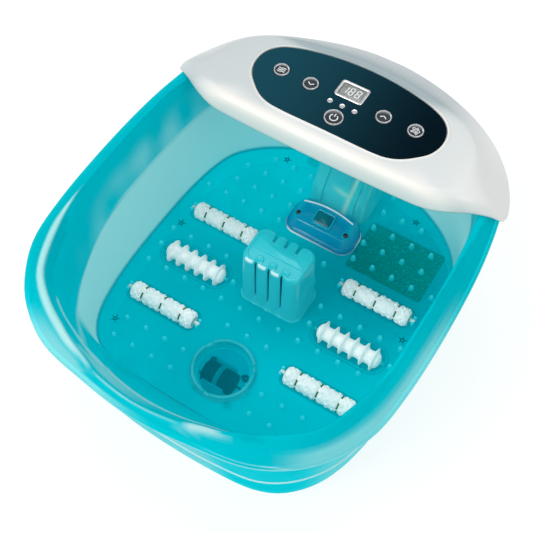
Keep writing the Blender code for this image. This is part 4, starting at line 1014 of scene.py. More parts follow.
def build_hood(shape):
    """The hood's shell, from its lower edge up to the seat of the control film."""
    lower = raised(outline(HOOD_OUTLINE), hood_edge_height)
    upper = raised(outline(HOOD_TOP_OUTLINE), HOOD_TOP_Z)
    lip = [point + Vector((0, 0, 0.0012)) for point in lower]
    rings = [between(lower, upper, 0.02), lip]
    rings[0] = [Vector((p.x, p.y, q.z)) for p, q in zip(rings[0], lower)]
    arc = 14
    for i in range(1, arc + 1):
        t = i / arc
        ring = []
        for low, high in zip(lip, upper):
            rise = 2 * t - t * t
            lean = HOOD_LEAN[0] + (HOOD_LEAN[1] - HOOD_LEAN[0]) * smooth(low.y, 0.080, 0.125)
            across = 2 * lean * t * (1 - t) + t * t
            ring.append(Vector((
                low.x + (high.x - low.x) * across, low.y + (high.y - low.y) * across,
                low.z + (high.z - low.z) * rise,
            )))
        rings.append(ring)
    film = outline(OVERLAY_OUTLINE)
    seat = (
        (-0.0036, HOOD_TOP_Z), (-0.0030, HOOD_TOP_Z + 0.0005), (-0.0016, HOOD_TOP_Z + 0.0010),
        (-0.0008, HOOD_TOP_Z + 0.0006), (-GAP, 0.2184), (0.0040, 0.2183),
    )
    rings += [raised(inset_points(film, inset), height) for inset, height in seat]
    loft(shape, rings)


def make_hood():
    """The hood, with painted shade at its back and painted highlights in a warmer white at its front lip."""
    hood = piece("hood_shell", build_hood, (HOOD,), "basin", ("control_hood",), 38)
    solidify(hood, HOOD_WALL, -1)
    paint(hood, "painted_light", hood_painted_highlights)
    paint(hood, "painted_shade", hood_shade)


def hood_shade(place):
    """The hood's back falls away from the light, and its left end is a little duller than its right."""
    back = smooth(place.y, 0.146, 0.162) * fading(-place.x, 0.07, 0.14) * fading(place.x, 0.06, 0.12)
    left = 0.30 * smooth(-place.x, 0.03, 0.08)
    return max(1.15 * back, left * fading(0.075 - place.y, -0.003, 0.003))


def hood_painted_highlights(place):
    """Painted highlights in a warmer white on the front lip and the ridge round the control film, and a
    lighter share at the right end.
    """
    front = fading(place.y, 0.066, 0.078)
    ridge = smooth(place.z, HOOD_TOP_Z + 0.0003, HOOD_TOP_Z + 0.0008)
    right = 0.35 * smooth(place.x, 0.10, 0.14)
    return max(front, ridge, right)


def build_film(shape):
    """The control film, with holes for the buttons, the lamps and the display."""
    film = outline(OVERLAY_OUTLINE)
    low = OVERLAY_TOP_Z - 0.0012
    rings = add_rings(shape, [
        raised(film, low), raised(film, OVERLAY_TOP_Z - 0.0002),
        raised(inset_points(film, 0.0003), OVERLAY_TOP_Z),
    ])
    bridge(shape, rings)
    hollows = [circle(x, y, radius + GAP) for _, x, y, radius in BUTTONS]
    hollows += [circle(i * LED_SPACING, LED_Y, LED_RADIUS + GAP, 20) for i in (-1, 0, 1)]
    hollows.append(rounded_rectangle(DISPLAY_SIZE[0] / 2 + GAP, DISPLAY_Y - DISPLAY_SIZE[1] / 2 - GAP,
                                     DISPLAY_Y + DISPLAY_SIZE[1] / 2 + GAP, 0.001, 4))
    tops = []
    bottoms = []
    for hollow in hollows:
        made = add_rings(shape, [raised(hollow, low), raised(hollow, OVERLAY_TOP_Z)])
        bridge(shape, made)
        bottoms.append(made[0])
        tops.append(made[1])
    fill_between(shape, rings[-1], tops)
    fill_between(shape, rings[0], bottoms)


# ---------------------------------------------------------------- controls

ICON_LOOK = 2


def wave_icon(shape, z):
    """Three waves, for vibration."""
    for k in (-1, 0, 1):
        points = []
        for i in range(17):
            x = -0.0036 + 0.0072 * i / 16
            points.append(Vector((x, k * 0.0021 + 0.0006 * math.sin(math.tau * i / 16 + math.pi))))
        ribbon(shape, points, 0.0009, z, z + LINE_HEIGHT, ICON_LOOK)


def chevron_icon(direction):
    """An arrow head, up or down."""
    def icon(shape, z):
        arm = 0.0030
        points = [Vector((-arm, -direction * arm * 0.35)), Vector((0, direction * arm * 0.35)),
                  Vector((arm, -direction * arm * 0.35))]
        ribbon(shape, points, 0.0010, z, z + LINE_HEIGHT, ICON_LOOK)
    return icon


def power_icon(shape, z):
    """An open ring with an upright stroke."""
    ring = []
    for i in range(25):
        angle = math.radians(125 + 290 * i / 24)
        ring.append(Vector((0.0036 * math.cos(angle), 0.0036 * math.sin(angle))))
    ribbon(shape, ring, 0.0010, z, z + LINE_HEIGHT, ICON_LOOK)
    ribbon(shape, [Vector((0, 0.0010)), Vector((0, 0.0046))], 0.0010, z, z + LINE_HEIGHT, ICON_LOOK)


def bubble_icon(shape, z):
    """Six small rings."""
    for x, y, radius in ((-0.0022, 0.0016, 0.0012), (0.0006, 0.0026, 0.0009), (0.0024, 0.0004, 0.0013),
                         (-0.0008, -0.0012, 0.0011), (0.0016, -0.0026, 0.0009), (-0.0030, -0.0020, 0.0007)):
        ribbon(shape, circle(x, y, radius, 16), 0.0006, z, z + LINE_HEIGHT, ICON_LOOK, closed=True)


ICONS = {
    "vibration_button": wave_icon, "temp_down_button": chevron_icon(-1), "power_button": power_icon,
    "temp_up_button": chevron_icon(1), "bubble_button": bubble_icon,
}


def make_buttons():
    """Round caps: a silver ring round a dark dish that carries the icon."""
    for name, x, y, radius in BUTTONS:
        rim = radius - 0.0014
        profile = (
            (0.2108, 0), (0.2108, 0.0025), (0.2145, 0.0025), (0.2145, radius + 0.0014),
            (0.2158, radius + 0.0014), (0.2158, radius), (0.2197, radius),
            (0.2204, radius - 0.0002), (0.2209, radius - 0.0006),
            (0.2209, rim + 0.0002), (0.2206, rim), (0.2201, rim - 0.0003), (0.2199, rim - 0.0012),
            (0.21985, rim * 0.5), (DISH_Z, 0),
        )
        looks = (1,) * 6 + (0,) * 5 + (1,) * 3

        def build(shape):
            turned(shape, (0, 0, 0), profile, 48, "Z", looks)
            ICONS[name](shape, DISH_Z)

        piece("cap_" + name, build, (SILVER, BUTTON_FACE, ICON), name, (name,),
              place=(x, y, 0))


def segment_digit(shape, centre, digit, z):
    """A seven-segment digit, leaning a little."""
    lit = {"1": "bc", "8": "abcdefg"}[digit]
    width = 0.0036
    height = 0.0042
    ends = {
        "a": ((0, 2), (1, 2)), "b": ((1, 1), (1, 2)), "c": ((1, 0), (1, 1)), "d": ((0, 0), (1, 0)),
        "e": ((0, 0), (0, 1)), "f": ((0, 1), (0, 2)), "g": ((0, 1), (1, 1)),
    }
    for name in lit:
        line = []
        for column, row in ends[name]:
            rise = (row - 1) * height
            line.append(Vector((centre[0] + (column - 0.5) * width + rise * 0.10, centre[1] + rise)))
        gap = (line[1] - line[0]).normalized() * 0.0004
        ribbon(shape, [line[0] + gap, line[1] - gap], 0.0010, z, z + 0.0001, 1)


def make_display():
    """The display's window and frame, and the three lamps."""
    half_x = DISPLAY_SIZE[0] / 2
    half_y = DISPLAY_SIZE[1] / 2

    def module(shape):
        block(shape, (-half_x, -half_y, 0.2070), (half_x, half_y, GLASS_Z), 0.0004)
        for digit, x in (("1", -0.0068), ("8", -0.0006), ("8", 0.0060)):
            segment_digit(shape, (x, 0.0), digit, GLASS_Z)

    piece("display_glass", module, (GLASS, DIGIT), "basin", ("display_module",),
          place=(0, DISPLAY_Y, 0))

    def bezel(shape):
        outer = rounded_rectangle(BEZEL_SIZE[0] / 2, -BEZEL_SIZE[1] / 2, BEZEL_SIZE[1] / 2, 0.0030)
        inner = rounded_rectangle(half_x + GAP, -half_y - GAP, half_y + GAP, 0.0010)
        low = OVERLAY_TOP_Z + GAP / 2
        rings = [
            raised(outer, low), raised(outer, 0.2206), raised(inset_points(outer, 0.0003), 0.2209),
            raised(inset_points(outer, 0.0012), 0.2210), raised(inset_points(outer, 0.0020), 0.2209),
            raised(inner, 0.2205), raised(inner, low), raised(outer, low),
        ]
        loft(shape, rings)
        weld(shape)

    piece("display_frame", bezel, (SILVER,), "basin", ("display_bezel",),
          place=(0, DISPLAY_Y, 0))
    for i in (-1, 0, 1):
        def lamp(shape):
            profile = (
                (0.2070, 0), (0.2070, LED_RADIUS), (0.2198, LED_RADIUS), (0.2198, 0.0025), (0.2201, 0.0026),
                (0.2203, 0.0022), (0.2202, 0.0016), (0.2200, 0.0014), (0.2204, 0.0009), (0.2206, 0),
            )
            turned(shape, (0, 0, 0), profile, 28, "Z", (1, 1, 0, 0, 0, 0, 0, 1, 1))

        piece(f"lamp_{i + 2}", lamp, (SILVER, LENS), "basin", (f"indicator_led_{i + 2}",),
              place=(i * LED_SPACING, LED_Y, 0))


# ---------------------------------------------------------------- rollers

def build_knob_roller(shape):
    """A sleeve of four segments between three grooves, covered in round knobs."""
    half = ROLLER_LENGTH / 2
    profile = [(-half, ROLLER_BORE), (-half, ROLLER_RADIUS - 0.0030)]
    for i in range(1, 5):
        angle = math.pi / 2 * i / 4
        x = -half + 0.0030 * (1 - math.cos(angle)) * 1.1
        profile.append((x, ROLLER_RADIUS - 0.0030 * (1 - math.sin(angle))))
    for groove in GROOVES:
        profile += [
            (groove - 0.0015, ROLLER_RADIUS), (groove - 0.0010, ROLLER_RADIUS - 0.0004),
            (groove - 0.0008, ROLLER_RADIUS - 0.0013), (groove + 0.0008, ROLLER_RADIUS - 0.0013),
            (groove + 0.0010, ROLLER_RADIUS - 0.0004), (groove + 0.0015, ROLLER_RADIUS),
        ]
    for x, radius in reversed(profile[:6]):
        profile.append((-x, radius))
    turned(shape, (0, 0, 0), profile, 48)
    edges = (-half, *GROOVES, half)
    for segment, (low, high) in enumerate(zip(edges, edges[1:])):
        for row in range(3):
            x = low + 0.0041 + (high - low - 0.0082) * row / 2
            for k in range(9):
                turn = math.tau * (k + 0.5 * (row % 2) + 0.3 * segment) / 9
                knob(shape, x + 0.0005 * math.sin(7.3 * k + 2.1 * row + segment), turn)


def knob(shape, x, turn):
    """One rounded bump on the sleeve."""
    out = Vector((0, math.cos(turn), math.sin(turn)))
    side = Vector((0, -math.sin(turn), math.cos(turn)))
    base = Vector((x, 0, 0)) + out * (ROLLER_RADIUS - 0.0006)
    rings = []
    dome = ((0.0022, 0), (0.0018, 0.0007), (0.0015, 0.0011), (0.0010, 0.0014), (0.0005, 0.0015))
    for spread, height in dome:
        ring = []
        for i in range(10):
            u = math.cos(math.tau * i / 10) * spread
            v = math.sin(math.tau * i / 10) * spread
            ring.append(base + Vector((u, 0, 0)) + side * v + out * height)
        rings.append(ring)
    loft(shape, rings, end_cap=True)


def build_axle(shape):
    """A dark rod inside, pads that show in the grooves, and a white pin at each end."""
    half = ROLLER_LENGTH / 2
    rod = ROLLER_BORE - GAP
    turned(shape, (0, 0, 0), (
        (-PIN_REACH, 0), (-PIN_REACH, PIN_RADIUS - 0.0004), (-PIN_REACH + 0.0004, PIN_RADIUS),
        (-half - 0.0005, PIN_RADIUS), (-half - 0.0005, rod),
        (half + 0.0005, rod), (half + 0.0005, PIN_RADIUS),
        (PIN_REACH - 0.0004, PIN_RADIUS), (PIN_REACH, PIN_RADIUS - 0.0004), (PIN_REACH, 0),
    ), 28, looks=(1, 1, 1, 1, 0, 1, 1, 1, 1))
    for groove in GROOVES:
        for quarter in range(4):
            turn = Matrix.Rotation(math.pi / 2 * quarter + math.radians(45), 4, "X")
            reach = turn @ Vector((groove, 0, ROLLER_RADIUS - 0.0016))
            half_pad = Vector((0.0006, 0.0030, 0.0012))
            block(shape, reach - half_pad, reach + half_pad, turn=turn)


def build_spindle(shape):
    """A slim core with six sharp discs, hollows between them, domed ends and a pin at each end."""
    half = SPINDLE_LENGTH / 2
    left = [(-SPINDLE_PIN_REACH, 0), (-SPINDLE_PIN_REACH, PIN_RADIUS - 0.0003),
            (-SPINDLE_PIN_REACH + 0.0003, PIN_RADIUS), (-half, PIN_RADIUS)]
    for i in range(2, 8):
        angle = math.pi / 2 * i / 7
        left.append((-half + 0.0052 * (1 - math.cos(angle)), (SPINDLE_CORE + 0.0012) * math.sin(angle)))
    profile = list(left)
    for disc in range(6):
        x = SPINDLE_PITCH * (disc - 2.5)
        for reach in (-1, 1):
            flank = [
                (0.0034, SPINDLE_CORE + 0.0003), (0.0022, SPINDLE_CORE + 0.0010),
                (0.0013, SPINDLE_CORE + 0.0024), (0.0008, SPINDLE_DISC - 0.0010),
                (0.0004, SPINDLE_DISC - 0.0002), (0.00015, SPINDLE_DISC),
            ]
            if reach > 0:
                flank.reverse()
            profile += [(x + reach * away, radius) for away, radius in flank]
    profile += [(-x, radius) for x, radius in reversed(left)]
    bands = len(profile) - 1
    turned(shape, (0, 0, 0), profile, 56, looks=[1 if min(i, bands - 1 - i) < 3 else 0 for i in range(bands)])


def make_rollers():
    """The knobbed rollers with their axles, and the spindles, each on its own body."""
    bodies = ("front_left", "front_right", "rear_left", "rear_right")
    for number, ((x, y), where) in enumerate(zip(roller_places(), bodies), start=1):
        body = where + "_roller"
        piece(f"knob_roller_{number}", build_knob_roller, (ROLLER,), body, (f"roller_{number}",),
              75, (x, y, ROLLER_Z))
        piece(f"axle_{number}", build_axle, (AXLE, PIN), body, (f"roller_axle_{number}",),
              place=(x, y, ROLLER_Z))
    for (x, y), side in zip(spindle_places(), ("left", "right")):
        piece(f"spindle_{side}", build_spindle, (ROLLER, RING), f"{side}_spindle",
              (f"spindle_roller_{side}",), 60, (x, y, ROLLER_Z))


# ---------------------------------------------------------------- on the floor

def block_outline(inset, slit_depth, column, notch):
    """The tower's section: round corners, a front of four columns between slits, two hollows at the back."""
    half_x, half_y = BLOCK_HALF
    whole = rounded_rectangle(half_x, -half_y, half_y, 0.0105, 10)
    plain = rounded_rectangle(half_x - inset, -half_y + inset, half_y - inset, 0.0105 - inset * 0.5, 10)
    dense = []
    for i, a in enumerate(plain):
        b = plain[(i + 1) % len(plain)]
        parts = max(1, round((whole[(i + 1) % len(whole)] - whole[i]).length / 0.0004))
        dense += [a.lerp(b, k / parts) for k in range(parts)]
    points = []
    for point in dense:
        y = point.y
        if y < -half_y + inset + 0.0035:
            away = min(abs(point.x - x) for x in SLIT_X)
            y += slit_depth * fading(away, 0.0005, 0.0011)
            y += column * fading(away, 0.0006, 0.0060) * (abs(point.x) < 0.024)
        if y > half_y - inset - 0.0035:
            away = min(abs(point.x - x) for x in NOTCH_X)
            y -= notch * fading(away, 0.0014, 0.0022)
            y -= 0.0012 * (notch > 0) * fading(away, 0.0014, 0.0060)
        points.append(Vector((point.x, y)))
    return points


def build_block(shape):
    """The tower between the feet: four columns in front, four lobes behind, and three bosses on top."""
    height = BLOCK_TOP_Z - FLOOR_Z
    levels = (  # height, inset, depth of the slits, bulge of the columns, depth of the notches
        (0.0004, -0.0016, 0, 0, 0), (0.0016, -0.0004, 0, 0.0006, 0), (0.0040, 0, 0, 0.0012, 0),
        (0.0130, 0.0002, 0.0, 0.0014, 0), (0.0165, 0.0002, 0.0035, 0.0014, 0),
        (0.0300, 0.0005, 0.0035, 0.0014, 0),
        (0.0305, 0.0005, 0.0035, 0.0014, 0.006), (height - 0.010, 0.0014, 0.0035, 0.0014, 0.009),
        (height - 0.0045, 0.0016, 0.0035, 0.0014, 0.009), (height - 0.0020, 0.0020, 0.0030, 0.0012, 0.009),
        (height - 0.0006, 0.0030, 0.0022, 0.0008, 0.009), (height, 0.0042, 0.0012, 0.0004, 0.009),
        (height, 0.0052, 0.0, 0.0, 0.009), (height - 0.0014, 0.0060, 0.0, 0.0, 0.009),
    )
    loft(shape, [raised(block_outline(*level[1:]), level[0]) for level in levels], end_cap=True)
    low = height - 0.0020
    for x in SLIT_X:
        profile = ((low, 0.0044), (height - 0.0004, 0.0042), (height + 0.0001, 0.0036), (height, 0.0026),
                   (height - 0.0004, 0.0020), (height - 0.0004, 0))
        turned(shape, (x + 0.0012, -0.0136, 0), profile, 32, "Z")
    step = [Vector((p.x, max(p.y, -0.0040))) for p in block_outline(0.0056, 0, 0, 0.009)]
    step_top = [Vector((p.x, max(p.y, -0.0034))) for p in block_outline(0.0062, 0, 0, 0.009)]
    loft(shape, (raised(step, low), raised(step, height - 0.0004), raised(step_top, height)), end_cap=True)
    weld(shape)


def make_block():
    """The tower between the feet."""
    tower = piece("centre_tower", build_block, (BLOCK,), "basin", ("centre_block",), 45,
                  (0, BLOCK_CENTRE_Y, FLOOR_Z))
    height = BLOCK_TOP_Z - FLOOR_Z
    # Painted light: the tower takes some of the paler teal all over and more on its front face below the top;
    # painted shade fills the slits; painted highlights run along the top front edge of three columns.
    paint(tower, "painted_light",
          lambda place: 0.35 + 0.35 * smooth(-place.y, 0.012, 0.020) * (place.z < height - 0.003))
    paint(tower, "painted_shade", slit_shade)
    paint(tower, "painted_highlight", lambda place: 0.8 * (
        height - 0.0030 < place.z < height - 0.0004 and place.y < -0.0165 and place.x < 0.012
        and min(abs(place.x - x) for x in (-0.0213, -0.0071, 0.0071)) < 0.0042))


def slit_shade(place):
    """The slits in the tower's front are open, so they are dark."""
    away = min(abs(place.x - x) for x in SLIT_X)
    deep_in = smooth(place.y, -BLOCK_HALF[1] + 0.0022, -BLOCK_HALF[1] + 0.0038)
    return deep_in * (away < 0.0012) * (place.y < -BLOCK_HALF[1] + 0.008) * (place.z < 0.068)


def heater_top(point):
    """The cover's top rises towards the back and falls away to the sides."""
    return 0.0585 + 0.28 * (point.y - 0.084) - 6.0 * point.x ** 2


def heater_ring(inset):
    """The heater cover's outline, moved in without its corners turning inside out."""
    radius = max(0.0140 - inset, 0.0003)
    return rounded_rectangle(HEATER_HALF_WIDTH - inset, HEATER_Y[0] + inset, HEATER_Y[1] - inset, radius, 12)


def build_heater_cover(shape):
    """A low blue cover: its sides curve over into a top that rises to the back."""
    low = heater_ring(0)
    corners = (
        raised(low, FLOOR_Z + 3 * GAP), raised(heater_ring(0.0003), FLOOR_Z + 0.0050),
        raised(heater_ring(0.0020), lambda p: heater_top(p) - 0.0060),
        raised(heater_ring(0.0085), heater_top), raised(heater_ring(0.0105), heater_top),
    )
    rings = rounded_path(corners, (0.003, 0.004, 0.005), 5)
    rings += [raised(heater_ring(inset), heater_top) for inset in (0.0130, 0.0155, 0.0180, 0.0199)]
    loft(shape, rings, end_cap=True)


def on_cover(points, rise):
    """An outline laid on the heater cover's top, and lifted by rise."""
    return [point + Vector((0, 0, rise)) for point in raised(points, heater_top)]


def build_cover_rings(shape):
    """A moulded ring round each of the cover's screws, and a step round its window."""
    moulding = ((0.0042, -0.0006), (0.0040, 0.0004), (0.0034, 0.0007), (0.0029, 0.0004), (0.0028, -0.0006))
    x, y = HEATER_SCREW
    for side in (-1, 1):
        loft(shape, [on_cover(circle(side * x, y, radius, 28), rise) for radius, rise in moulding])
    step = ((0.0022, -0.0006), (0.0020, 0.0003), (0.0012, 0.0005), (0.0004, 0.0003), (0.0002, -0.0006))
    half_x, half_y = WINDOW_HALF
    rings = []
    for reach, rise in step:
        ring = rounded_rectangle(half_x + reach, WINDOW_Y - half_y - reach, WINDOW_Y + half_y + reach,
                                 0.0010 + reach, 5)
        rings.append(on_cover(ring, rise))
    loft(shape, rings)


def build_heater_details(shape):
    """The ridge along the back of the cover and the bead round its foot."""
    points = []
    for i in range(33):
        x = -0.0290 + 0.0580 * i / 32
        points.append(Vector((x, 0.1068 - 1.5 * x * x)))
    for a, b in zip(points, points[1:]):
        rows = []
        for p in (a, b):
            z = heater_top(p)
            ring = []
            for k in range(8):
                angle = math.tau * k / 8
                place = (p.x, p.y + 0.0009 * math.cos(angle), z + 0.0008 + 0.0010 * math.sin(angle))
                ring.append(shape.verts.new(place))
            rows.append(ring)
        for k in range(8):
            shape.faces.new((rows[0][k], rows[0][(k + 1) % 8], rows[1][(k + 1) % 8], rows[1][k]))
    foot = rounded_rectangle(HEATER_HALF_WIDTH + 0.0012, HEATER_Y[0] - 0.0012, HEATER_Y[1] + 0.0005,
                             0.0150, 12)
    bead = []
    for k in range(7):
        angle = math.pi * k / 6
        ring = inset_points(foot, 0.0010 * (1 - math.cos(angle)))
        bead.append(raised(ring, FLOOR_Z + 0.0011 * math.sin(angle)))
    loft(shape, bead)
    weld(shape)


def make_heater():
    """The heater cover with its trim, window and screws."""
    cover = piece("heater_shell", build_heater_cover, (HEATER,), "basin", ("heater_cover",),
                  40)
    solidify(cover, COVER_WALL, -1)
    # Painted light: the cover's upper sides and the rings round its screws are painted paler; the trim
    # carries painted highlights, strongest on the back ridge and the middle of the foot bead.
    paint(cover, "painted_light", lambda place: smooth(abs(place.x), 0.022, 0.034) * smooth(place.z, 0.050, 0.056))
    paint(cover, "painted_highlight", lambda place: 0.0)
    trim = piece("heater_trim", build_heater_details, (HEATER,), "basin", ())
    paint(trim, "painted_light", lambda place: 0.0)
    paint(trim, "painted_highlight", lambda place: 0.9 if place.y > 0.1 or -0.034 < place.x < 0.018 else 0.15)
    rings = piece("heater_rings", build_cover_rings, (HEATER,), "basin", (), 75)
    paint(rings, "painted_light", lambda place: 0.6)
    paint(rings, "painted_highlight", lambda place: 0.0)

    def pane(shape):
        half_x, half_y = WINDOW_HALF
        outer = rounded_rectangle(half_x, WINDOW_Y - half_y, WINDOW_Y + half_y, 0.0010, 4)
        top = on_cover(inset_points(outer, 0.0004), 0.0006)
        loft(shape, (on_cover(outer, -0.0010), on_cover(outer, 0.0003), top), True, True)

    piece("heater_window", pane, (WINDOW,), "basin", ("infrared_window",))
    for number, side in enumerate((-1, 1), start=1):
        place = (side * HEATER_SCREW[0], HEATER_SCREW[1])
        seat = heater_top(Vector(place)) + 0.0001

        def screw(shape):
            turned(shape, (0, 0, 0), (
                (seat - 0.0070, 0), (seat - 0.0070, 0.0012), (seat - 0.0004, 0.0012),
                (seat - 0.0002, 0.0026), (seat + 0.0008, 0.0025), (seat + 0.0014, 0.0018),
                (seat + 0.0013, 0.0011), (seat + 0.0004, 0.0009), (seat + 0.0004, 0),
            ), 28, "Z")

        piece(f"cover_screw_{number}", screw, (DARK_STEEL,), "basin", (f"heater_cover_screw_{number}",),
              place=(*place, 0))


def divided(points, parts=22):
    """A closed outline with its straight sides in small parts."""
    dense = []
    for a, b in zip(points, points[1:] + points[:1]):
        count = parts if (b - a).length > 0.006 else 1
        dense += [a.lerp(b, k / count) for k in range(count)]
    return dense


def build_duct(shape):
    """The hollow column behind the heater, with a rib up each side of its front."""
    sections = (
        (0.034, 0.1185, 0.1800, FLOOR_Z + GAP), (0.0335, 0.1200, 0.1803, 0.055),
        (0.033, 0.1220, 0.1805, 0.066), (0.032, 0.1310, 0.1810, 0.081),
        (0.031, 0.1420, 0.1815, 0.095), (0.030, 0.1440, 0.1850, 0.1970),
    )
    corners = []
    for half_x, low, high, z in sections:
        corners.append(raised(divided(rounded_rectangle(half_x, low, high, 0.012, 10)), z))
    loft(shape, finer(rounded_path(corners, (0.008, 0.008, 0.01, 0.01), 4), 0.003))
    for side in (-1, 1):
        path = [(0.1176, 0.046), (0.1208, 0.066), (0.1302, 0.081), (0.1412, 0.095), (0.1424, 0.150)]
        rows = []
        for y, z in path:
            x = side * 0.0190
            rows.append([shape.verts.new(Vector((x + dx, y + dy, z))) for dx, dy in
                         ((-0.0012, 0.0012), (-0.0008, -0.0008), (0.0008, -0.0008), (0.0012, 0.0012))])
        for first, second in zip(rows, rows[1:]):
            for i in range(3):
                shape.faces.new((first[i], first[i + 1], second[i + 1], second[i]))


def make_duct():
    """The clear riser behind the heater cover."""
    duct = piece("duct_column", build_duct, (DUCT,), "basin", ("rear_duct",), 40)
    solidify(duct, COVER_WALL, -1)
    paint(duct, "painted_light", duct_glow)


def duct_glow(place):
    """Light gathers in the duct's front in a forked streak, and in thin upright lines at its right."""
    front = fading(place.y, 0.140, 0.150)
    stem = math.exp(-((place.x - 0.0125 - 0.10 * (place.z - 0.070)) / 0.0024) ** 2)
    stem *= fading(place.z, 0.088, 0.100)
    fork = math.exp(-((place.z - 0.0735 + 0.15 * place.x) / 0.0022) ** 2) * smooth(place.x, -0.012, 0.002)
    fork *= fading(place.x, 0.012, 0.014)
    lines = max(0.0, math.sin(place.x * 900)) ** 8 * smooth(place.x, 0.016, 0.020)
    return front * min(1.0, 0.9 * max(stem, 0.8 * fork) + 0.30 * lines + 0.06)


def build_well_ring(shape):
    """The collar round the well, with three breaks and a bead at its foot."""
    sides = 144
    profile = (
        (WELL_RADIUS + 0.0006, GAP), (WELL_RING_RADIUS + 0.0010, GAP), (WELL_RING_RADIUS + 0.0004, 0.0012),
        (WELL_RING_RADIUS - 0.0006, 0.0018), (WELL_RING_RADIUS - 0.0009, WELL_RING_HEIGHT - 0.0006),
        (WELL_RING_RADIUS - 0.0014, WELL_RING_HEIGHT), (WELL_RADIUS + 0.0014, WELL_RING_HEIGHT),
        (WELL_RADIUS + 0.0007, WELL_RING_HEIGHT - 0.0006), (WELL_RADIUS + 0.0006, GAP),
    )
    rings = []
    for radius, z in profile:
        ring = []
        for i in range(sides):
            angle = math.tau * i / sides
            away = min(abs((angle - math.pi / 6 - math.tau * k / 3 + math.pi) % math.tau - math.pi)
                       for k in range(3))
            drop = 0.0024 * fading(away, math.radians(6.5), math.radians(8)) * (z > 0.004)
            ring.append(Vector((radius * math.cos(angle), radius * math.sin(angle), z - drop)))
        rings.append(ring)
    loft(shape, rings)
    weld(shape)


def make_well():
    """The collar round the well."""
    piece("well_collar", build_well_ring, (RING,), "basin", ("well_ring",), 40,
          (0, WELL_Y, FLOOR_Z))


def build_motor(shape):
    """A can motor with a strap round its middle, a stepped end and two terminals."""
    turned(shape, (0, 0, 0), (
        (-0.0190, 0), (-0.0190, 0.0034), (-0.0172, 0.0038), (-0.0170, 0.0098), (-0.0160, 0.0112),
        (-0.0150, 0.0115), (-0.0105, 0.0115), (-0.0102, 0.0110), (-0.0090, 0.0110), (-0.0087, 0.0115),
        (-0.0024, 0.0115),
        (-0.0024, 0.0123), (0.0024, 0.0123), (0.0024, 0.0115), (0.0150, 0.0115), (0.0162, 0.0108),
        (0.0170, 0.0095), (0.0170, 0.0032), (0.0184, 0.0030), (0.0184, 0.0012), (0.0348, 0.0012),
        (0.0350, 0.0010), (0.0350, 0),
    ), 40, looks=(2, 2, 2) + (0,) * 7 + (1, 1, 1) + (0, 0, 0, 0) + (2,) * 5)
    for y in (-0.0055, 0.0055):
        block(shape, (-0.0205, y - 0.0012, -0.0004), (-0.0168, y + 0.0012, 0.0004), 0.0002, look=2)


def build_cradle(shape):
    """The motor's bracket: a plate with an eyelet at each corner, and two cheeks."""
    low = 0.0064
    high = 0.0086
    plate = [Vector((p.x, p.y)) for p in rounded_rectangle(0.0150, -0.0170, 0.0170, 0.0030)]
    rings = (raised(plate, low), raised(plate, high - 0.0003), raised(inset_points(plate, 0.0003), high))
    loft(shape, rings, True, True)
    eyelet = ((0.0019, low), (0.0037, low), (0.0037, high + 0.0010), (0.0019, high + 0.0010), (0.0019, low))
    for x in (-0.0188, 0.0188):
        for y in (-0.0166, 0.0166):
            loft(shape, [raised(circle(x, y, radius, 24), z) for radius, z in eyelet], look=1)
            block(shape, (min(x, x * 0.75), y - 0.0012, low), (max(x, x * 0.75), y + 0.0012, high), look=1)
    for y in (-0.0135, 0.0135):
        block(shape, (-0.0120, y - 0.0013, 0.0080), (0.0120, y + 0.0013, 0.0290), 0.0006)
    weld(shape)


def make_motor():
    """The motor seen through the well, and its bracket."""
    piece("well_motor", build_motor, (CAN, RING, DARK_STEEL), "basin", ("vibration_motor",),
          40, (MOTOR_X, WELL_Y, MOTOR_Z))
    piece("motor_cradle", build_cradle, (RING, BOSS), "basin", ("motor_bracket",), 40,
          (MOTOR_X, WELL_Y, 0))


# ---------------------------------------------------------------- carried-over nodes

def repaint():
    """New materials for the pieces that come straight from the CAD."""
    looks = {
        "base_plate": CASING, "hood_tray": TRAY, "control_board": BOARD, "power_board": BOARD,
        "wiring_harness": BLACK, "air_hose": HOSE, "air_pump": HOSE, "heater_element": CERAMIC,
        "eccentric_weight": STEEL, "cord_gland": BLACK,
    }
    for number in range(1, 7):
        looks[f"base_screw_{number}"] = STEEL
    for number in range(1, 5):
        looks[f"rubber_foot_{number}"] = RUBBER
    for name, look in looks.items():
        for entry in nodes[name].material_slots:
            entry.material = look


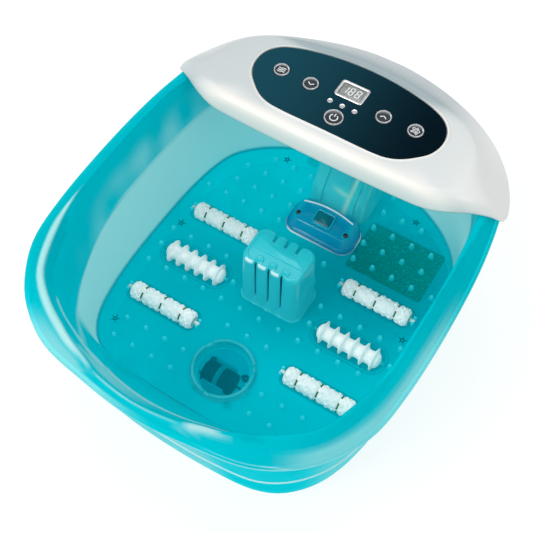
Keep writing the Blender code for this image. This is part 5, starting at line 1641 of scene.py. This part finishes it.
# ---------------------------------------------------------------- stage

def make_stage():
    """A plain, nearly white floor, soft studio lights and the camera."""
    look, tree, shader, place = new_material("studio_floor")
    greys = mixed(tree, noise(tree, place, 2.0), (0.28, 0.28, 0.28), (0.32, 0.32, 0.32))
    tree.links.new(greys, shader.inputs["Base Color"])
    shader.inputs["Roughness"].default_value = 0.9
    shader.inputs["Emission Color"].default_value = (1, 1, 1, 1)
    shader.inputs["Emission Strength"].default_value = 0.75
    shader.inputs["Specular IOR Level"].default_value = 0.0
    bpy.ops.mesh.primitive_plane_add(size=12, location=(0, 0, 0))
    floor = bpy.context.object
    floor.name = "studio_floor"
    floor.data.materials.append(look)

    world = bpy.data.worlds.new("studio")
    bpy.context.scene.world = world
    world.use_nodes = True
    background = world.node_tree.nodes["Background"]
    background.inputs["Color"].default_value = (1, 1, 1, 1)
    background.inputs["Strength"].default_value = 0.55

    for name, place, size, power in (
        ("key", (-0.9, -1.5, 1.9), 1.2, 22), ("fill", (1.6, -0.6, 1.5), 1.0, 8),
        ("top", (-0.2, 0.5, 2.2), 1.4, 13),
    ):
        lamp = bpy.data.lights.new(name, "AREA")
        lamp.size = size
        lamp.energy = power
        light = bpy.data.objects.new(name, lamp)
        bpy.context.scene.collection.objects.link(light)
        light.location = place
        light.rotation_euler = (Vector((0, 0, 0.1)) - Vector(place)).to_track_quat("-Z", "Y").to_euler()

    camera = bpy.data.cameras.new("camera")
    camera.sensor_width = 36
    camera.lens = 60.8
    camera.clip_start = 0.05
    view = bpy.data.objects.new("camera", camera)
    bpy.context.scene.collection.objects.link(view)
    view.location = (0.2256, -0.3808, 0.8308)
    view.rotation_euler = (math.radians(31.2), 0, math.radians(31.8))
    bpy.context.scene.camera = view
    bpy.context.scene.view_settings.view_transform = "Standard"


make_stage()
make_tub()
make_casing()
make_hood()
piece("control_film", build_film, (OVERLAY,), "basin", ("panel_overlay",))
make_buttons()
make_display()
make_rollers()
make_block()
make_heater()
make_duct()
make_well()
make_motor()
repaint()
